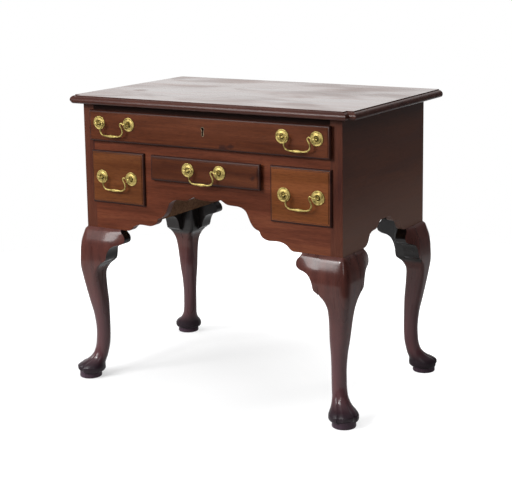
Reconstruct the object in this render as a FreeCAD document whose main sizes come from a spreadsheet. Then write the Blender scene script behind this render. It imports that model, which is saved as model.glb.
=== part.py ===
"""A lowboy: a four-drawer dressing table on cabriole legs, with brass swan-neck handles.

Millimetres. X runs to the right, Y to the back and Z up. The origin is on the floor, under
the middle of the case. The front faces -Y.
"""
import FreeCAD
import Part
import math
import os
import re

# Driving dimensions, by group. Each goes to a cell of the sheet under its own name.
SIZES = {
    # case
    "case_width": 750, "case_depth": 456, "case_bottom": 409,
    "post_width": 32, "post_depth": 44,
    "side_thick": 16, "back_thick": 14, "apron_thick": 22,
    "rail_depth": 60, "partition_thick": 20, "partition_rise": 31,
    # joinery
    "tenon_thick": 8, "tenon_length": 18, "tenon_shoulder": 12, "mortise_room": 1,
    # top board
    "board_thick": 20, "over_front": 26, "over_sides": 38, "over_back": 35,
    "notch": 17, "mould_inset": 10.5, "mould_step": 2.5, "mould_return": 4,
    # rails and drawer openings, in the plane of the case front
    "top_rail": 21, "top_drawer": 68, "middle_rail": 36, "side_drawer": 125,
    "middle_drawer": 52.5, "apron_height": 75, "side_width": 153, "divider_width": 36,
    # drawers
    "lip_over": 6, "lip_thick": 8, "lip_round": 5.5, "field_step": 1.0, "field_inset": 7,
    "lip_gap": 0.3, "core_thick": 14, "core_gap": 1.5, "lining": 10, "drawer_room": 42,
    "bottom_thick": 6, "bottom_rise": 8, "groove_depth": 5, "back_drop": 6,
    "tail_length": 10, "tail_wide": 22, "tail_flare": 3, "tail_pitch": 30, "tail_space": 4,
    "slide_gap": 0.3, "runner_width": 18, "runner_height": 22, "guide_rise": 12,
    "top_open": 5, "middle_open": 5, "side_open": 0,
    # handles
    "handle_span": 92, "handle_shift": 2.5, "handle_top_lift": 8, "handle_side_lift": 0.5,
    "handle_middle_lift": 2.25,
    "rosette_radius": 17.5, "rosette_edge": 1.5, "rosette_dome": 4.2, "rosette_boss": 6.5,
    "post_radius": 4.6, "pivot_out": 12, "post_over": 5, "post_ease": 1.5,
    "shank_radius": 2.2, "shank_gap": 0.4, "shank_over": 3, "nut_side": 11, "nut_thick": 4,
    "rod_radius": 2.0, "pin_gap": 0.3, "grip_radius": 3.8, "grip_length": 34,
    "pin_over": 6, "neck_start": 4, "neck_rise_radius": 9, "neck_radius": 4.5,
    "neck_run": 10, "corner_radius": 13,
    # lock
    "lock_width": 64, "lock_height": 46, "lock_thick": 10, "bolt_half": 9, "bolt_thick": 6,
    "bolt_length": 21, "bolt_throw": 8, "bolt_gap": 0.3, "slot_room": 1,
    "keyhole_lift": 11, "keyhole_radius": 3.6, "keyhole_half": 1.9, "keyhole_drop": 17.5,
    "liner_wall": 1.6, "liner_depth": 4,
    # feet and knees
    "disc_radius": 29.5, "toe_groove_middle": 38, "toe_groove_edge": 31,
    "block_nose": 122, "block_thick": 22, "block_ease": 0.42,
    "glue_block": 18, "glue_block_length": 70,
}

# Places that follow from the sizes, by name. Each is a property with a formula.
PLACES = {
    "lower_low": "case_bottom + apron_height",
    "lower_high": "lower_low + side_drawer",
    "middle_low": "lower_high - middle_drawer",
    "top_low": "lower_high + middle_rail",
    "top_high": "top_low + top_drawer",
    "top_middle": "(top_low + top_high) / 2",
    "case_top": "top_high + top_rail",
    "partition_bottom": "case_bottom + partition_rise",
    "post_inner": "case_width / 2 - post_width",
    "side_inner": "post_inner - side_width",
    "middle_half": "side_inner - divider_width",
    "post_back": "case_depth / 2 - post_depth",
    "drawer_end": "case_depth / 2 - back_thick - drawer_room",
    "handle_out": "(post_inner + side_inner) / 2 + handle_shift",
    "handle_top_height": "top_middle + handle_top_lift",
    "handle_side_height": "(lower_low + lower_high) / 2 + handle_side_lift",
    "handle_middle_height": "(middle_low + lower_high) / 2 + handle_middle_lift",
    "keyhole_height": "top_middle + keyhole_lift",
    "post_reach": "pivot_out + post_over",
    "disc_out": "leg_sole_outset - leg_sole_side / 2",
    "block_joint": "leg_brow_side - leg_brow_outset",
}

# Stations down the cabriole leg. Each row is a rounded square seen from above: where it
# stands, how far its outer faces lie out from the case, its side, and the radii of its
# outer arris, of the two arrises beside it and of the inner one.
KNEE_STATIONS = [  # measured down from the bottom of the case
    ("brow", 0, 1.0, 57, 3, 1, 6),
    ("roll", 5, 6.8, 62.8, 4, 1, 6),
    ("swell", 16, 11.8, 67.8, 6, 1, 6),
    ("cap", 38, 18.7, 74.7, 10, 1, 6),
    ("knee", 65, 21.3, 77.3, 12, 1, 6),
    ("tuck", 88, 21.5, 76.5, 13, 2, 8),
    ("hollow", 105, 20.7, 63.0, 14, 6, 11),
    ("calf", 127, 17.7, 53.4, 15, 11, 15),
]
FOOT_STATIONS = [  # measured up from the floor
    ("shin", 245, 12.3, 49.1, 16, 16, 16),
    ("low_shin", 204, 5.5, 44.8, 16.5, 16.5, 16.5),
    ("taper", 164, -1.2, 38.8, 17, 17, 17),
    ("ankle", 123, -3.8, 36.6, 18, 18, 18),
    ("low_ankle", 92, -2.7, 36.6, 18, 18, 18),
    ("instep", 68, 1.6, 38.0, 18.7, 18.7, 18.7),
    ("arch", 54, 9.2, 43.8, 21.6, 21.6, 21.6),
    ("slope", 44, 20.0, 53.2, 26.3, 26.3, 26.3),
    ("toe_top", 35, 34.0, 67.0, 33.2, 33.2, 33.2),
    ("toe", 27, 39.4, 73.6, 36.5, 36.5, 36.5),
    ("toe_low", 20, 39.6, 74.0, 36.7, 36.7, 36.7),
    ("sole", 13, 33.0, 56.8, 28.1, 28.1, 28.1),
]
STATION_PARTS = ("place", "outset", "side", "outer", "beside", "inner")

# How deep the two grooves between the toes are, at the stations that have them.
TOE_GROOVES = {"instep": 0.7, "arch": 1.8, "slope": 2.7, "toe_top": 3.0, "toe": 3.0,
               "toe_low": 2.6, "sole": 1.6}

# The scrolled outlines, as runs of a smooth curve between sharp points.
# Front apron, right half: distance from the middle and height.
APRON_ARCH = [(0, 509), (12, 509.6), (26, 511.2), (39.5, 515)]
APRON_SCROLL = [(39.5, 515), (48, 510.6), (57, 506), (70, 504.2), (84, 504), (96, 502.2),
                (106, 498.2), (113, 491.5), (118, 482.5), (123, 470.5), (129, 460.6),
                (137.5, 453.6), (147, 450)]
APRON_LOBE = [(147, 450), (150.6, 445.6), (153.6, 438.8), (160, 433), (169, 429.2),
              (186, 428.4), (204, 429), (216, 426.4), (226, 421.2), (234, 413.8), (243, 409)]
# Side board, rear half: distance from the middle of the depth and height.
SIDE_FLAT = [(0, 461), (20, 461)]
SIDE_SCROLL = [(20, 461), (28, 459.2), (35, 454.6), (42, 447.8), (51, 443.8), (64, 442.2),
               (75, 441), (83, 436.8), (89, 429), (94, 419.4), (102, 413), (114, 409)]
# Knee block: distance from the corner of the case and depth below the case.
BLOCK_NOSE = [(108, 0), (112, 8), (119.5, 16), (122, 25.5), (118.8, 34), (110, 38.4)]
BLOCK_BELLY = [(110, 38.4), (97, 41), (86, 46), (77.5, 55.6), (72.5, 67), (70, 79)]
BLOCK_TAIL = [(67.4, 82.6), (61.5, 86.4), (56, 91)]
BLOCK_STATIONS = ("brow", "roll", "swell", "cap", "knee", "tuck", "hollow")

# The bail's neck rises by this many degrees from its pin, and falls by this many past level.
NECK_RISE, NECK_FALL = 45, 120

# Where the grip's thickness is set, as shares of half its length from its middle.
GRIP_PLACES = (0.7, 0.4, 0, -0.4, -0.7)

# Rounds of the pieces that repeat are made of flats: this many round a full turn, or so far
# between a curve and its chords.
ROD_SIDES, SHANK_SIDES, POST_SIDES, ROSETTE_SIDES, DISC_SIDES = 8, 6, 8, 16, 20
ARRIS_CHORDS = 4
TURN, QUARTER = 360, 90
HEAD_CHORDS, FOOT_CHORDS = 9, 4
BEND_STEP = 42
BLOCK_CHORD = 0.6
# A panel whose corners are within this of one plane, in mm, is one facet.
FLAT = 1e-7
# Curved outlines of the aprons are drawn as tangent arcs, within this of a smooth curve.
ARC_FIT = 0.3

LEGS = {"front_right": (1, -1), "front_left": (-1, -1),
        "rear_right": (1, 1), "rear_left": (-1, 1)}

doc = FreeCAD.newDocument("Lowboy")
sheet = doc.addObject("Spreadsheet::Sheet", "Sizes")
places = doc.addObject("App::VarSet", "Places")


def fill_sheet():
    """Writes every driving dimension to its own named cell."""
    cells = dict(SIZES)
    for name, *numbers in KNEE_STATIONS + FOOT_STATIONS:
        for part, number in zip(STATION_PARTS, numbers):
            cells[f"leg_{name}_{part}"] = number
        cells[f"leg_{name}_groove"] = TOE_GROOVES.get(name, 0)
    for row, (alias, number) in enumerate(cells.items(), start=1):
        sheet.set(f"A{row}", alias)
        sheet.set(f"B{row}", str(number))
        sheet.setAlias(f"B{row}", alias)
    doc.recompute()
    return set(cells)


ALIASES = fill_sheet()


def size(alias):
    """The number in a named cell, or at a named place."""
    return float(getattr(places if alias in PLACES else sheet, alias))


def bind(thing, place, formula):
    """Ties a property of an object to a formula in the names of sizes and places."""
    def named(match):
        word = match.group()
        if word in PLACES:
            return f"{places.Name}.{word}"
        return f"{sheet.Name}.{word}" if word in ALIASES else word
    thing.setExpression(place, re.sub(r"[a-z_]+", named, formula))


def fill_places():
    for name, formula in PLACES.items():
        places.addProperty("App::PropertyFloat", name)
        bind(places, name, formula)
    doc.recompute()


fill_places()


def vector(x, y, z):
    return FreeCAD.Vector(x, y, z)


HALF_WIDTH = size("case_width") / 2
HALF_DEPTH = size("case_depth") / 2
FRONT = "(-case_depth / 2)"

KEPT = []


def keep(thing, label):
    """Marks an object as a finished sub-part with this name."""
    thing.Label = label
    KEPT.append(thing)
    return thing


def box(name, corner, extent):
    """A Part::Box whose lowest corner and extents are formulas."""
    thing = doc.addObject("Part::Box", name)
    for axis, formula in zip("xyz", corner):
        bind(thing, f"Placement.Base.{axis}", formula)
    for side, formula in zip(("Length", "Width", "Height"), extent):
        bind(thing, side, formula)
    return thing


def fused(name, things):
    union = doc.addObject("Part::MultiFuse", name)
    union.Shapes = things
    union.Refine = True
    return union


def cut(name, base, tools):
    """The base less one tool, or less the union of several."""
    taken = doc.addObject("Part::Cut", name)
    taken.Base = base
    taken.Tool = tools[0] if len(tools) == 1 else fused(name + "_tools", tools)
    taken.Refine = True
    return taken


def group(name, things):
    """Separate solids under one name."""
    bundle = doc.addObject("Part::Compound", name)
    bundle.Links = things
    return bundle


def mirrored(name, source, base, normal):
    image = doc.addObject("Part::Mirroring", name)
    image.Source = source
    image.Base = base
    image.Normal = normal
    return image


def to_left(name, source):
    return mirrored(name, source, vector(0, 0, 0), vector(1, 0, 0))


def to_rear(name, source):
    return mirrored(name, source, vector(0, 0, 0), vector(0, 1, 0))


# ---------------------------------------------------------------- curves and sketches

def curve(points, turn=1):
    """Tangent arcs through points of a plane, mirrored across the second axis if turn is -1."""
    line = Part.BSplineCurve()
    line.interpolate([vector(turn * a, b, 0) for a, b in points])
    return line.toBiArcs(ARC_FIT)


def straight(start, end):
    return Part.LineSegment(vector(*start, 0), vector(*end, 0))


def polygon(points):
    """Straight edges round a closed outline."""
    ends = points[1:] + points[:1]
    return [straight(start, end) for start, end in zip(points, ends)]


def origin_plane(body, role):
    """One of a body's own three planes."""
    return [plane for plane in body.Origin.OriginFeatures if plane.Role == role][0]


def sketch_on(body, role, name, geometry, offset=None):
    """A sketch on an origin plane of its body, moved along the plane's normal by a formula."""
    sketch = body.newObject("Sketcher::SketchObject", name)
    sketch.AttachmentSupport = (origin_plane(body, role), "")
    sketch.MapMode = "FlatFace"
    if offset is not None:
        bind(sketch, "AttachmentOffset.Base.z", offset)
    sketch.addGeometry(geometry, False)
    return sketch


def pad(body, sketch, name, length, reverse=False):
    feature = body.newObject("PartDesign::Pad", name)
    feature.Profile = sketch
    bind(feature, "Length", length)
    feature.Reversed = reverse
    sketch.Visibility = False
    return feature


def pocket(body, sketch, name, length, reverse=False):
    """A pocket, checked to have taken material away."""
    doc.recompute()
    before = body.Shape.Volume
    feature = body.newObject("PartDesign::Pocket", name)
    feature.Profile = sketch
    bind(feature, "Length", length)
    feature.Reversed = reverse
    doc.recompute()
    if body.Shape.Volume > before - 1e-3:
        raise RuntimeError(f"{name} cuts nothing")
    return feature


def rectangle(left, right, low, high):
    return polygon([(left, low), (right, low), (right, high), (left, high)])


def ring(centre, normal, first, radius, sides):
    """Corners of a many-sided ring round a centre; the first flat is halved by a direction."""
    spokes = [FreeCAD.Rotation(normal, (index + 0.5) * TURN / sides).multVec(first)
              for index in range(sides)]
    return [centre + spoke * radius for spoke in spokes]


def closed(points):
    return Part.makePolygon(points + points[:1])


def facetted(rings):
    """A solid with flat facets between rings of as many corners each, and a flat end on both."""
    faces = [Part.Face(closed(rings[0])), Part.Face(closed(rings[-1]))]
    for lower, upper in zip(rings, rings[1:]):
        for index, corner in enumerate(lower):
            before = index - 1
            panel = [lower[before], corner, upper[index], upper[before]]
            side, rise, diagonal = (spot - panel[0] for spot in (panel[1], panel[3], panel[2]))
            if abs(side.cross(rise).dot(diagonal)) < FLAT * side.Length * rise.Length:
                faces.append(Part.Face(closed(panel)))
            else:
                faces.append(Part.Face(closed(panel[:3])))
                faces.append(Part.Face(closed([panel[0], panel[2], panel[3]])))
    return Part.Solid(Part.Shell(faces))


def over_flats(radius, sides):
    """How far out the corners of a many-sided ring are, if a circle of this radius fits in it."""
    return radius / math.cos(math.pi / sides)


# ---------------------------------------------------------------- case

def top_board():
    """Board with notched front corners and a moulding round the front and the two sides."""
    right = HALF_WIDTH + size("over_sides")
    front = -HALF_DEPTH - size("over_front")
    back = HALF_DEPTH + size("over_back")
    notch = size("notch")
    side = [(right, back), (right, front + notch), (right - notch, front + notch),
            (right - notch, front)]
    outline = side + [(-x, y) for x, y in reversed(side)]
    body = doc.addObject("PartDesign::Body", "TopBoard")
    pad(body, sketch_on(body, "XY_Plane", "TopOutline", polygon(outline), "case_top"),
        "TopPad", "board_thick")
    path = sketch_on(body, "XY_Plane", "MouldPath",
                     [straight(a, b) for a, b in zip(outline, outline[1:])],
                     "case_top + board_thick")
    doc.recompute()

    # The waste beside the moulding, across the sketch outwards and down from the top face.
    inset, step, under = size("mould_inset"), size("mould_step"), size("mould_return")
    thick, spare = size("board_thick"), size("mould_inset")
    drop = step + inset
    top = size("case_top") + thick
    diagonal = math.sqrt(0.5)
    ovolo = Part.Arc(vector(right - inset, top - step, 0),
                     vector(right - inset + inset * diagonal, top - drop + inset * diagonal, 0),
                     vector(right, top - drop, 0))
    rest = thick - drop
    tuck_radius = (rest * rest + under * under) / (2 * under)
    tuck_angle = math.asin(rest / tuck_radius) / 2
    tuck = Part.Arc(vector(right, top - drop, 0),
                    vector(right - tuck_radius * (1 - math.cos(tuck_angle)),
                           top - drop - tuck_radius * math.sin(tuck_angle), 0),
                    vector(right - under, top - thick, 0))
    waste = [ovolo, tuck,
             straight((right - under, top - thick), (right - under, top - thick - 1)),
             straight((right - under, top - thick - 1), (right + spare, top - thick - 1)),
             straight((right + spare, top - thick - 1), (right + spare, top + 1)),
             straight((right + spare, top + 1), (right - inset, top + 1)),
             straight((right - inset, top + 1), (right - inset, top - step))]
    profile = sketch_on(body, "XZ_Plane", "MouldWaste", waste,
                        "-(case_depth / 2 + over_back)")
    mould = body.newObject("PartDesign::SubtractivePipe", "Moulding")
    mould.Profile = profile
    mould.Spine = path
    mould.Transition = "Right corner"
    before = body.Shape.Volume
    doc.recompute()
    if body.Shape.Volume > before - 1e-3:
        raise RuntimeError("the moulding cuts nothing")
    return keep(body, "top_board")


def side_boards(mortises):
    """Two side boards with scrolled lower edges, tenoned into the posts."""
    boards = {}
    low, high = size("case_bottom"), size("case_top")
    rise = low - SIDE_SCROLL[-1][1]
    end = size("post_back")
    lift = [(y, z + rise) for y, z in SIDE_SCROLL]
    flat = SIDE_FLAT[-1][0], SIDE_FLAT[-1][1] + rise
    last = SIDE_SCROLL[-1][0]
    ends = [(last, low), (end, low), (end, high), (-end, high), (-end, low), (-last, low)]
    outline = [straight((-flat[0], flat[1]), flat)] + curve(lift) + curve(lift, -1)
    outline += [straight(a, b) for a, b in zip(ends, ends[1:])]
    body = doc.addObject("PartDesign::Body", "SideBoard")
    pad(body, sketch_on(body, "YZ_Plane", "SideOutline", outline, "case_width / 2 - side_thick"),
        "SidePad", "side_thick")
    tongues = []
    for end_name, place in (("Front", "-{0} - tenon_length"), ("Rear", "{0}")):
        for room, room_name in (("0", "Tenon"), ("mortise_room", "Mortise")):
            y = place.format("post_back")
            if end_name == "Front":
                y = f"{y} - {room}"
            thing = box(f"Side{end_name}{room_name}",
                        ("case_width / 2 - side_thick / 2 - tenon_thick / 2", y,
                         "case_bottom + tenon_shoulder"),
                        ("tenon_thick", f"tenon_length + {room}",
                         "case_top - case_bottom - 2 * tenon_shoulder"))
            if room == "0":
                tongues.append(thing)
            else:
                mortises[f"{end_name.lower()}_right"].append(thing)
                mortises[f"{end_name.lower()}_left"].append(
                    to_left(f"Left{end_name}Mortise", thing))
    right = fused("RightSide", [body] + tongues)
    boards["right"] = keep(right, "right_side")
    boards["left"] = keep(to_left("LeftSide", right), "left_side")
    return boards


def cross_piece(label, body, heights, across, mortises, ends):
    """Gives a rail that spans two posts a tenon at each end, and each post its mortise."""
    low, high = heights
    pieces = [body]
    for room, kind in (("0", "Tenon"), ("mortise_room", "Mortise")):
        right = box(f"{label}_{kind}", ("post_inner", across, low),
                    (f"tenon_length + {room}", "tenon_thick", f"{high} - ({low})"))
        left = to_left(f"{label}_Left{kind}", right)
        if kind == "Tenon":
            pieces += [right, left]
        else:
            mortises[f"{ends}_right"].append(right)
            mortises[f"{ends}_left"].append(left)
    return keep(fused(label + "_piece", pieces), label)


def rails(mortises):
    """The two rails of the front, and the slot for the lock's bolt in the upper one."""
    across = f"{FRONT} + apron_thick / 2 - tenon_thick / 2"
    span = "2 * post_inner"
    top = box("TopRail", ("-post_inner", FRONT, "top_high"),
              (span, "rail_depth", "case_top - top_high"))
    slot = box("BoltSlot",
               ("-bolt_half - slot_room", f"{FRONT} + core_thick + lock_thick / 2"
                " - bolt_thick / 2 - slot_room - top_open", "top_high"),
               ("2 * (bolt_half + slot_room)", "bolt_thick + 2 * slot_room + top_open",
                "bolt_throw + slot_room"))
    cross_piece("top_rail", cut("TopRailSlotted", top, [slot]),
                ("top_high + field_step", "case_top - field_step"), across, mortises, "front")
    low = box("DrawerRail", ("-post_inner", FRONT, "lower_high"),
              (span, "rail_depth", "top_low - lower_high"))
    cross_piece("drawer_rail", low, ("lower_high + tenon_shoulder / 2",
                                     "top_low - tenon_shoulder / 2"),
                across, mortises, "front")


def front_apron(mortises):
    """The scrolled board under the drawers, stepped up below the middle one."""
    rise = size("case_bottom") - APRON_LOBE[-1][1]
    low = size("case_bottom")
    post, step = size("post_inner"), size("side_inner")
    lower, upper = size("lower_low"), size("middle_low")
    lobe_end = APRON_LOBE[-1][0]
    runs = [[(a, b + rise) for a, b in run] for run in (APRON_ARCH, APRON_SCROLL, APRON_LOBE)]
    arch = [(-a, b) for a, b in reversed(runs[0][1:])] + runs[0]
    outline = curve(arch)
    for turn in (1, -1):
        outline += curve(runs[1], turn) + curve(runs[2], turn)
        ends = [(lobe_end, low), (post, low), (post, lower), (step, lower), (step, upper)]
        ends = [(turn * a, b) for a, b in ends]
        outline += [straight(a, b) for a, b in zip(ends, ends[1:])]
    outline.append(straight((step, upper), (-step, upper)))
    body = doc.addObject("PartDesign::Body", "FrontApron")
    pad(body, sketch_on(body, "XZ_Plane", "ApronOutline", outline, "case_depth / 2"),
        "ApronPad", "apron_thick", reverse=True)
    cross_piece("front_apron", body, ("case_bottom + tenon_shoulder",
                                      "lower_low - tenon_shoulder"),
                f"{FRONT} + apron_thick / 2 - tenon_thick / 2", mortises, "front")


def back_board(mortises):
    board = box("BackBoard", ("-post_inner", "case_depth / 2 - back_thick", "case_bottom"),
                ("2 * post_inner", "back_thick", "case_top - case_bottom"))
    cross_piece("back_board", board, ("case_bottom + tenon_shoulder", "case_top - tenon_shoulder"),
                "case_depth / 2 - back_thick / 2 - tenon_thick / 2", mortises, "rear")


def dividers_and_partitions():
    """Uprights between the lower drawers, and the full-depth boards behind them."""
    upright = box("RightDivider", ("middle_half", FRONT, "middle_low"),
                  ("divider_width", "apron_thick", "lower_high - middle_low"))
    keep(group("DrawerDividers", [upright, to_left("LeftDivider", upright)]), "drawer_dividers")
    board = box("RightPartition",
                ("middle_half + divider_width / 2 - partition_thick / 2",
                 f"{FRONT} + apron_thick", "partition_bottom"),
                ("partition_thick", "case_depth - apron_thick - back_thick",
                 "lower_high - partition_bottom"))
    keep(board, "right_partition")
    keep(to_left("LeftPartition", board), "left_partition")


def runners():
    """Two strips for each drawer. Right-hand ones are mirrored to the left."""
    post = "post_inner"
    wall = "(case_width / 2 - side_thick)"
    part_in = "(middle_half + divider_width / 2 - partition_thick / 2)"
    part_out = "(middle_half + divider_width / 2 + partition_thick / 2)"
    behind_rail = f"{FRONT} + rail_depth"
    behind_apron = f"{FRONT} + apron_thick"
    back = "case_depth / 2 - back_thick"
    strips = []

    def strip(name, x_low, x_high, start, end, z_low, z_high):
        return box(name, (x_low, start, z_low),
                   (f"{x_high} - ({x_low})", f"{end} - ({start})", f"{z_high} - ({z_low})"))

    for name, top, start in (("Top", "top_low", behind_rail), ("Outer", "lower_low",
                                                               behind_apron)):
        ledge = strip(name + "Ledge", f"{post} - runner_width", post, start, back,
                      f"{top} - runner_height", top)
        guide = strip(name + "Guide", post, wall, "-post_back", "post_back",
                      f"{top} - runner_height", f"{top} + guide_rise")
        strips.append(fused(name + "Runner", [ledge, guide]))
    inner_ledge = strip("InnerLedge", part_out, "middle_half + divider_width + runner_width",
                        behind_apron, back, "lower_low - runner_height", "lower_low")
    inner_guide = strip("InnerGuide", part_out, "middle_half + divider_width",
                        behind_apron, back, "lower_low", "lower_low + guide_rise")
    strips.append(fused("InnerRunner", [inner_ledge, inner_guide]))
    middle_ledge = strip("MiddleLedge", "middle_half - runner_width", part_in,
                         behind_apron, back, "middle_low - runner_height", "middle_low")
    middle_guide = strip("MiddleGuide", "middle_half", part_in,
                         behind_apron, back, "middle_low", "middle_low + guide_rise")
    strips.append(fused("MiddleRunner", [middle_ledge, middle_guide]))
    strips += [to_left("Left" + thing.Name, thing) for thing in list(strips)]
    keep(group("Runners", strips), "drawer_runners")


def glue_blocks():
    """Blocks that hold the top board to the sides and the back, under its face."""
    blocks = []
    side = "case_width / 2 - side_thick - glue_block"
    for name, y in (("Fore", "-case_depth / 4"), ("Aft", "case_depth / 4")):
        blocks.append(box(name + "Block", (side, f"{y} - glue_block_length / 2",
                                           "case_top - glue_block"),
                          ("glue_block", "glue_block_length", "glue_block")))
    blocks.append(box("BackBlock", ("case_width / 5 - glue_block_length / 2",
                                    "case_depth / 2 - back_thick - glue_block",
                                    "case_top - glue_block"),
                      ("glue_block_length", "glue_block", "glue_block")))
    blocks += [to_left("Left" + thing.Name, thing) for thing in list(blocks)]
    keep(group("GlueBlocks", blocks), "glue_blocks")


# ---------------------------------------------------------------- legs

def arris(corner, into, away, radius, angles):
    """Chords round an arris: corners at these angles either side of its middle."""
    centre = corner + (away - into) * radius
    outwards = (into - away).normalize()
    axis = into.cross(away)
    return [centre + FreeCAD.Rotation(axis, angle).multVec(outwards) * (radius - deep)
            for angle, deep in angles]


def rounded_square(height, outset, side, outer, beside, inner, groove):
    """Section of the front right leg: four sides, four rounded arrises and two toe grooves."""
    x_high = HALF_WIDTH + outset
    y_low = -HALF_DEPTH - outset
    x_low, y_high = x_high - side, y_low + side
    corners = [((x_high, y_low), outer), ((x_high, y_high), beside),
               ((x_low, y_high), inner), ((x_low, y_low), beside)]
    plain = [(QUARTER * (index / ARRIS_CHORDS - 0.5), 0) for index in range(ARRIS_CHORDS + 1)]
    middle, edge = size("toe_groove_middle"), size("toe_groove_edge")
    grooved = [(-45, 0), (-middle, groove), (-edge, 0), (-edge / 2, 0), (0, 0), (edge / 2, 0),
               (edge, 0), (middle, groove), (45, 0)]
    points = []
    for index, ((x, y), radius) in enumerate(corners):
        before, after = corners[index - 1][0], corners[(index + 1) % 4][0]
        into = vector(x - before[0], y - before[1], 0).normalize()
        away = vector(after[0] - x, after[1] - y, 0).normalize()
        points += arris(vector(x, y, height), into, away, radius, plain if index else grooved)
    return points


def leg_station(name, from_case):
    place, *section = (size(f"leg_{name}_{part}") for part in STATION_PARTS)
    height = size("case_bottom") - place if from_case else place
    return rounded_square(height, *section, size(f"leg_{name}_groove"))


def leg_blank():
    """Cabriole leg of the front right corner, with its post, trifid foot and disc."""
    sections = [leg_station(row[0], True) for row in KNEE_STATIONS]
    sections += [leg_station(row[0], False) for row in FOOT_STATIONS]
    cabriole = facetted(sections)
    out = size("disc_out")
    foot = vector(HALF_WIDTH + out, -HALF_DEPTH - out, 0)
    rim = ring(foot, vector(0, 0, 1), vector(1, 0, 0), size("disc_radius"), DISC_SIDES)
    disc = Part.Face(closed(rim)).extrude(vector(0, 0, size("leg_sole_place")))
    post = Part.makeBox(size("post_width"), size("post_depth"),
                        size("case_top") - size("case_bottom"),
                        vector(size("post_inner"), -HALF_DEPTH, size("case_bottom")))
    blank = doc.addObject("Part::Feature", "LegBlank")
    blank.Shape = cabriole.fuse([disc, post]).removeSplitter()
    return blank


def legs(mortises):
    blank = leg_blank()
    for corner, (right, rear) in LEGS.items():
        source = blank
        if right < 0:
            source = to_left(f"{corner}_turned", source)
        if rear > 0:
            source = to_rear(f"{corner}_reversed", source)
        keep(cut(f"{corner}_mortised", source, mortises[corner]), f"{corner}_leg")


# ---------------------------------------------------------------- knee blocks

def block_profile(distance, share):
    """Section through a knee block, upright and square to the case's face.

    Its front follows the knee, by a share that is 1 at the leg and less at the nose.
    """
    x, bottom = HALF_WIDTH - distance, size("case_bottom")
    back = -HALF_DEPTH + size("block_thick")
    swell = [vector(x, -HALF_DEPTH - size(f"leg_{name}_outset") * share,
                    bottom - size(f"leg_{name}_place")) for name in BLOCK_STATIONS]
    return swell + [vector(x, back, swell[-1].z), vector(x, back, bottom)]


def knee_block():
    """Scrolled block that carries the knee's roll out along the case."""
    joint, nose = size("block_joint"), size("block_nose")
    rolled = facetted([block_profile(joint, 1.0), block_profile(nose, size("block_ease"))])
    first, last = BLOCK_TAIL[-1][0], max(a for a, b in BLOCK_NOSE)
    stretch = (nose - joint) / (last - first)
    front = -size("case_depth")
    outline = []
    for points in (BLOCK_NOSE, BLOCK_BELLY, BLOCK_TAIL):
        line = Part.BSplineCurve()
        line.interpolate([vector(HALF_WIDTH - joint - (a - first) * stretch, front,
                                 size("case_bottom") - b) for a, b in points])
        outline += [spot for spot in line.discretize(QuasiDeflection=BLOCK_CHORD)
                    if not outline or spot.distanceToPoint(outline[-1]) > BLOCK_CHORD]
    outline.append(vector(HALF_WIDTH - joint, front, size("case_bottom")))
    slab = Part.Face(closed(outline)).extrude(vector(0, 2 * size("case_depth"), 0))
    thing = doc.addObject("Part::Feature", "KneeBlock")
    thing.Shape = rolled.common(slab).removeSplitter()
    return thing


def knee_blocks():
    """Two blocks beside every leg, all the same but for their hand."""
    front = knee_block()
    side = mirrored("SideKneeBlock", front, vector(HALF_WIDTH, -HALF_DEPTH, 0), vector(1, 1, 0))
    for corner, (right, rear) in LEGS.items():
        for face, source in (("front" if rear < 0 else "back", front), ("side", side)):
            thing = source
            if right < 0:
                thing = to_left(f"{corner}_{face}_turned", thing)
            if rear > 0:
                thing = to_rear(f"{corner}_{face}_reversed", thing)
            if thing is source:
                thing = group(f"{corner}_{face}", [source])
            keep(thing, f"{corner}_{face}_knee_block")


# ---------------------------------------------------------------- drawers

class Drawer:
    """The sizes of one drawer: its opening, how far it stands open and its handles."""

    def __init__(self, name, left, right, low, high, rest, handles, handle_height):
        self.name = name
        self.left, self.right = left, right
        self.low, self.high = size(low), size(high)
        self.low_name, self.high_name, self.rest_name = low, high, rest
        self.rest = size(rest)
        self.handles = handles
        self.handle_height = size(handle_height)
        self.face = -HALF_DEPTH - size("lip_thick") - self.rest
        self.core_back = -HALF_DEPTH + size("core_thick") - self.rest
        gap = size("core_gap")
        self.box_left, self.box_right = left + gap, right - gap
        self.box_low, self.box_high = self.low + size("slide_gap"), self.high - 2 * gap

    def posts(self):
        """Where the handle posts go through the front."""
        half = size("handle_span") / 2
        return [middle + turn * half for middle in self.handles for turn in (-1, 1)]


def drawers():
    """The four drawers of this case."""
    post, middle, inner = size("post_inner"), size("middle_half"), size("side_inner")
    out = size("handle_out")
    return [
        Drawer("top", -post, post, "top_low", "top_high", "top_open", (-out, out),
               "handle_top_height"),
        Drawer("left", -post, -inner, "lower_low", "lower_high", "side_open", (-out,),
               "handle_side_height"),
        Drawer("middle", -middle, middle, "middle_low", "lower_high", "middle_open", (0.0,),
               "handle_middle_height"),
        Drawer("right", inner, post, "lower_low", "lower_high", "side_open", (out,),
               "handle_side_height"),
    ]


def tail_places(low, high):
    """Middles of the dovetails up a drawer side, evenly spaced and whole at both ends."""
    room = high - low
    count = max(1, int(room // size("tail_pitch")))
    return [low + room * (index + 0.5) / count for index in range(count)]


def side_outline(drawer):
    """A drawer side seen from the side: a board with dovetails at its front end."""
    shoulder = drawer.core_back
    tip = shoulder - size("tail_length")
    end = size("drawer_end") - drawer.rest
    low, high = drawer.box_low, drawer.box_high
    places = tail_places(low, high)
    pitch = (high - low) / len(places)
    wide = min(size("tail_wide"), pitch - size("tail_space")) / 2
    narrow = wide - size("tail_flare")
    points = [(shoulder, low)]
    for place in places:
        points += [(shoulder, place - narrow), (tip, place - wide), (tip, place + wide),
                   (shoulder, place + narrow)]
    points += [(shoulder, high), (end, high), (end, low)]
    return polygon(points)


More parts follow.
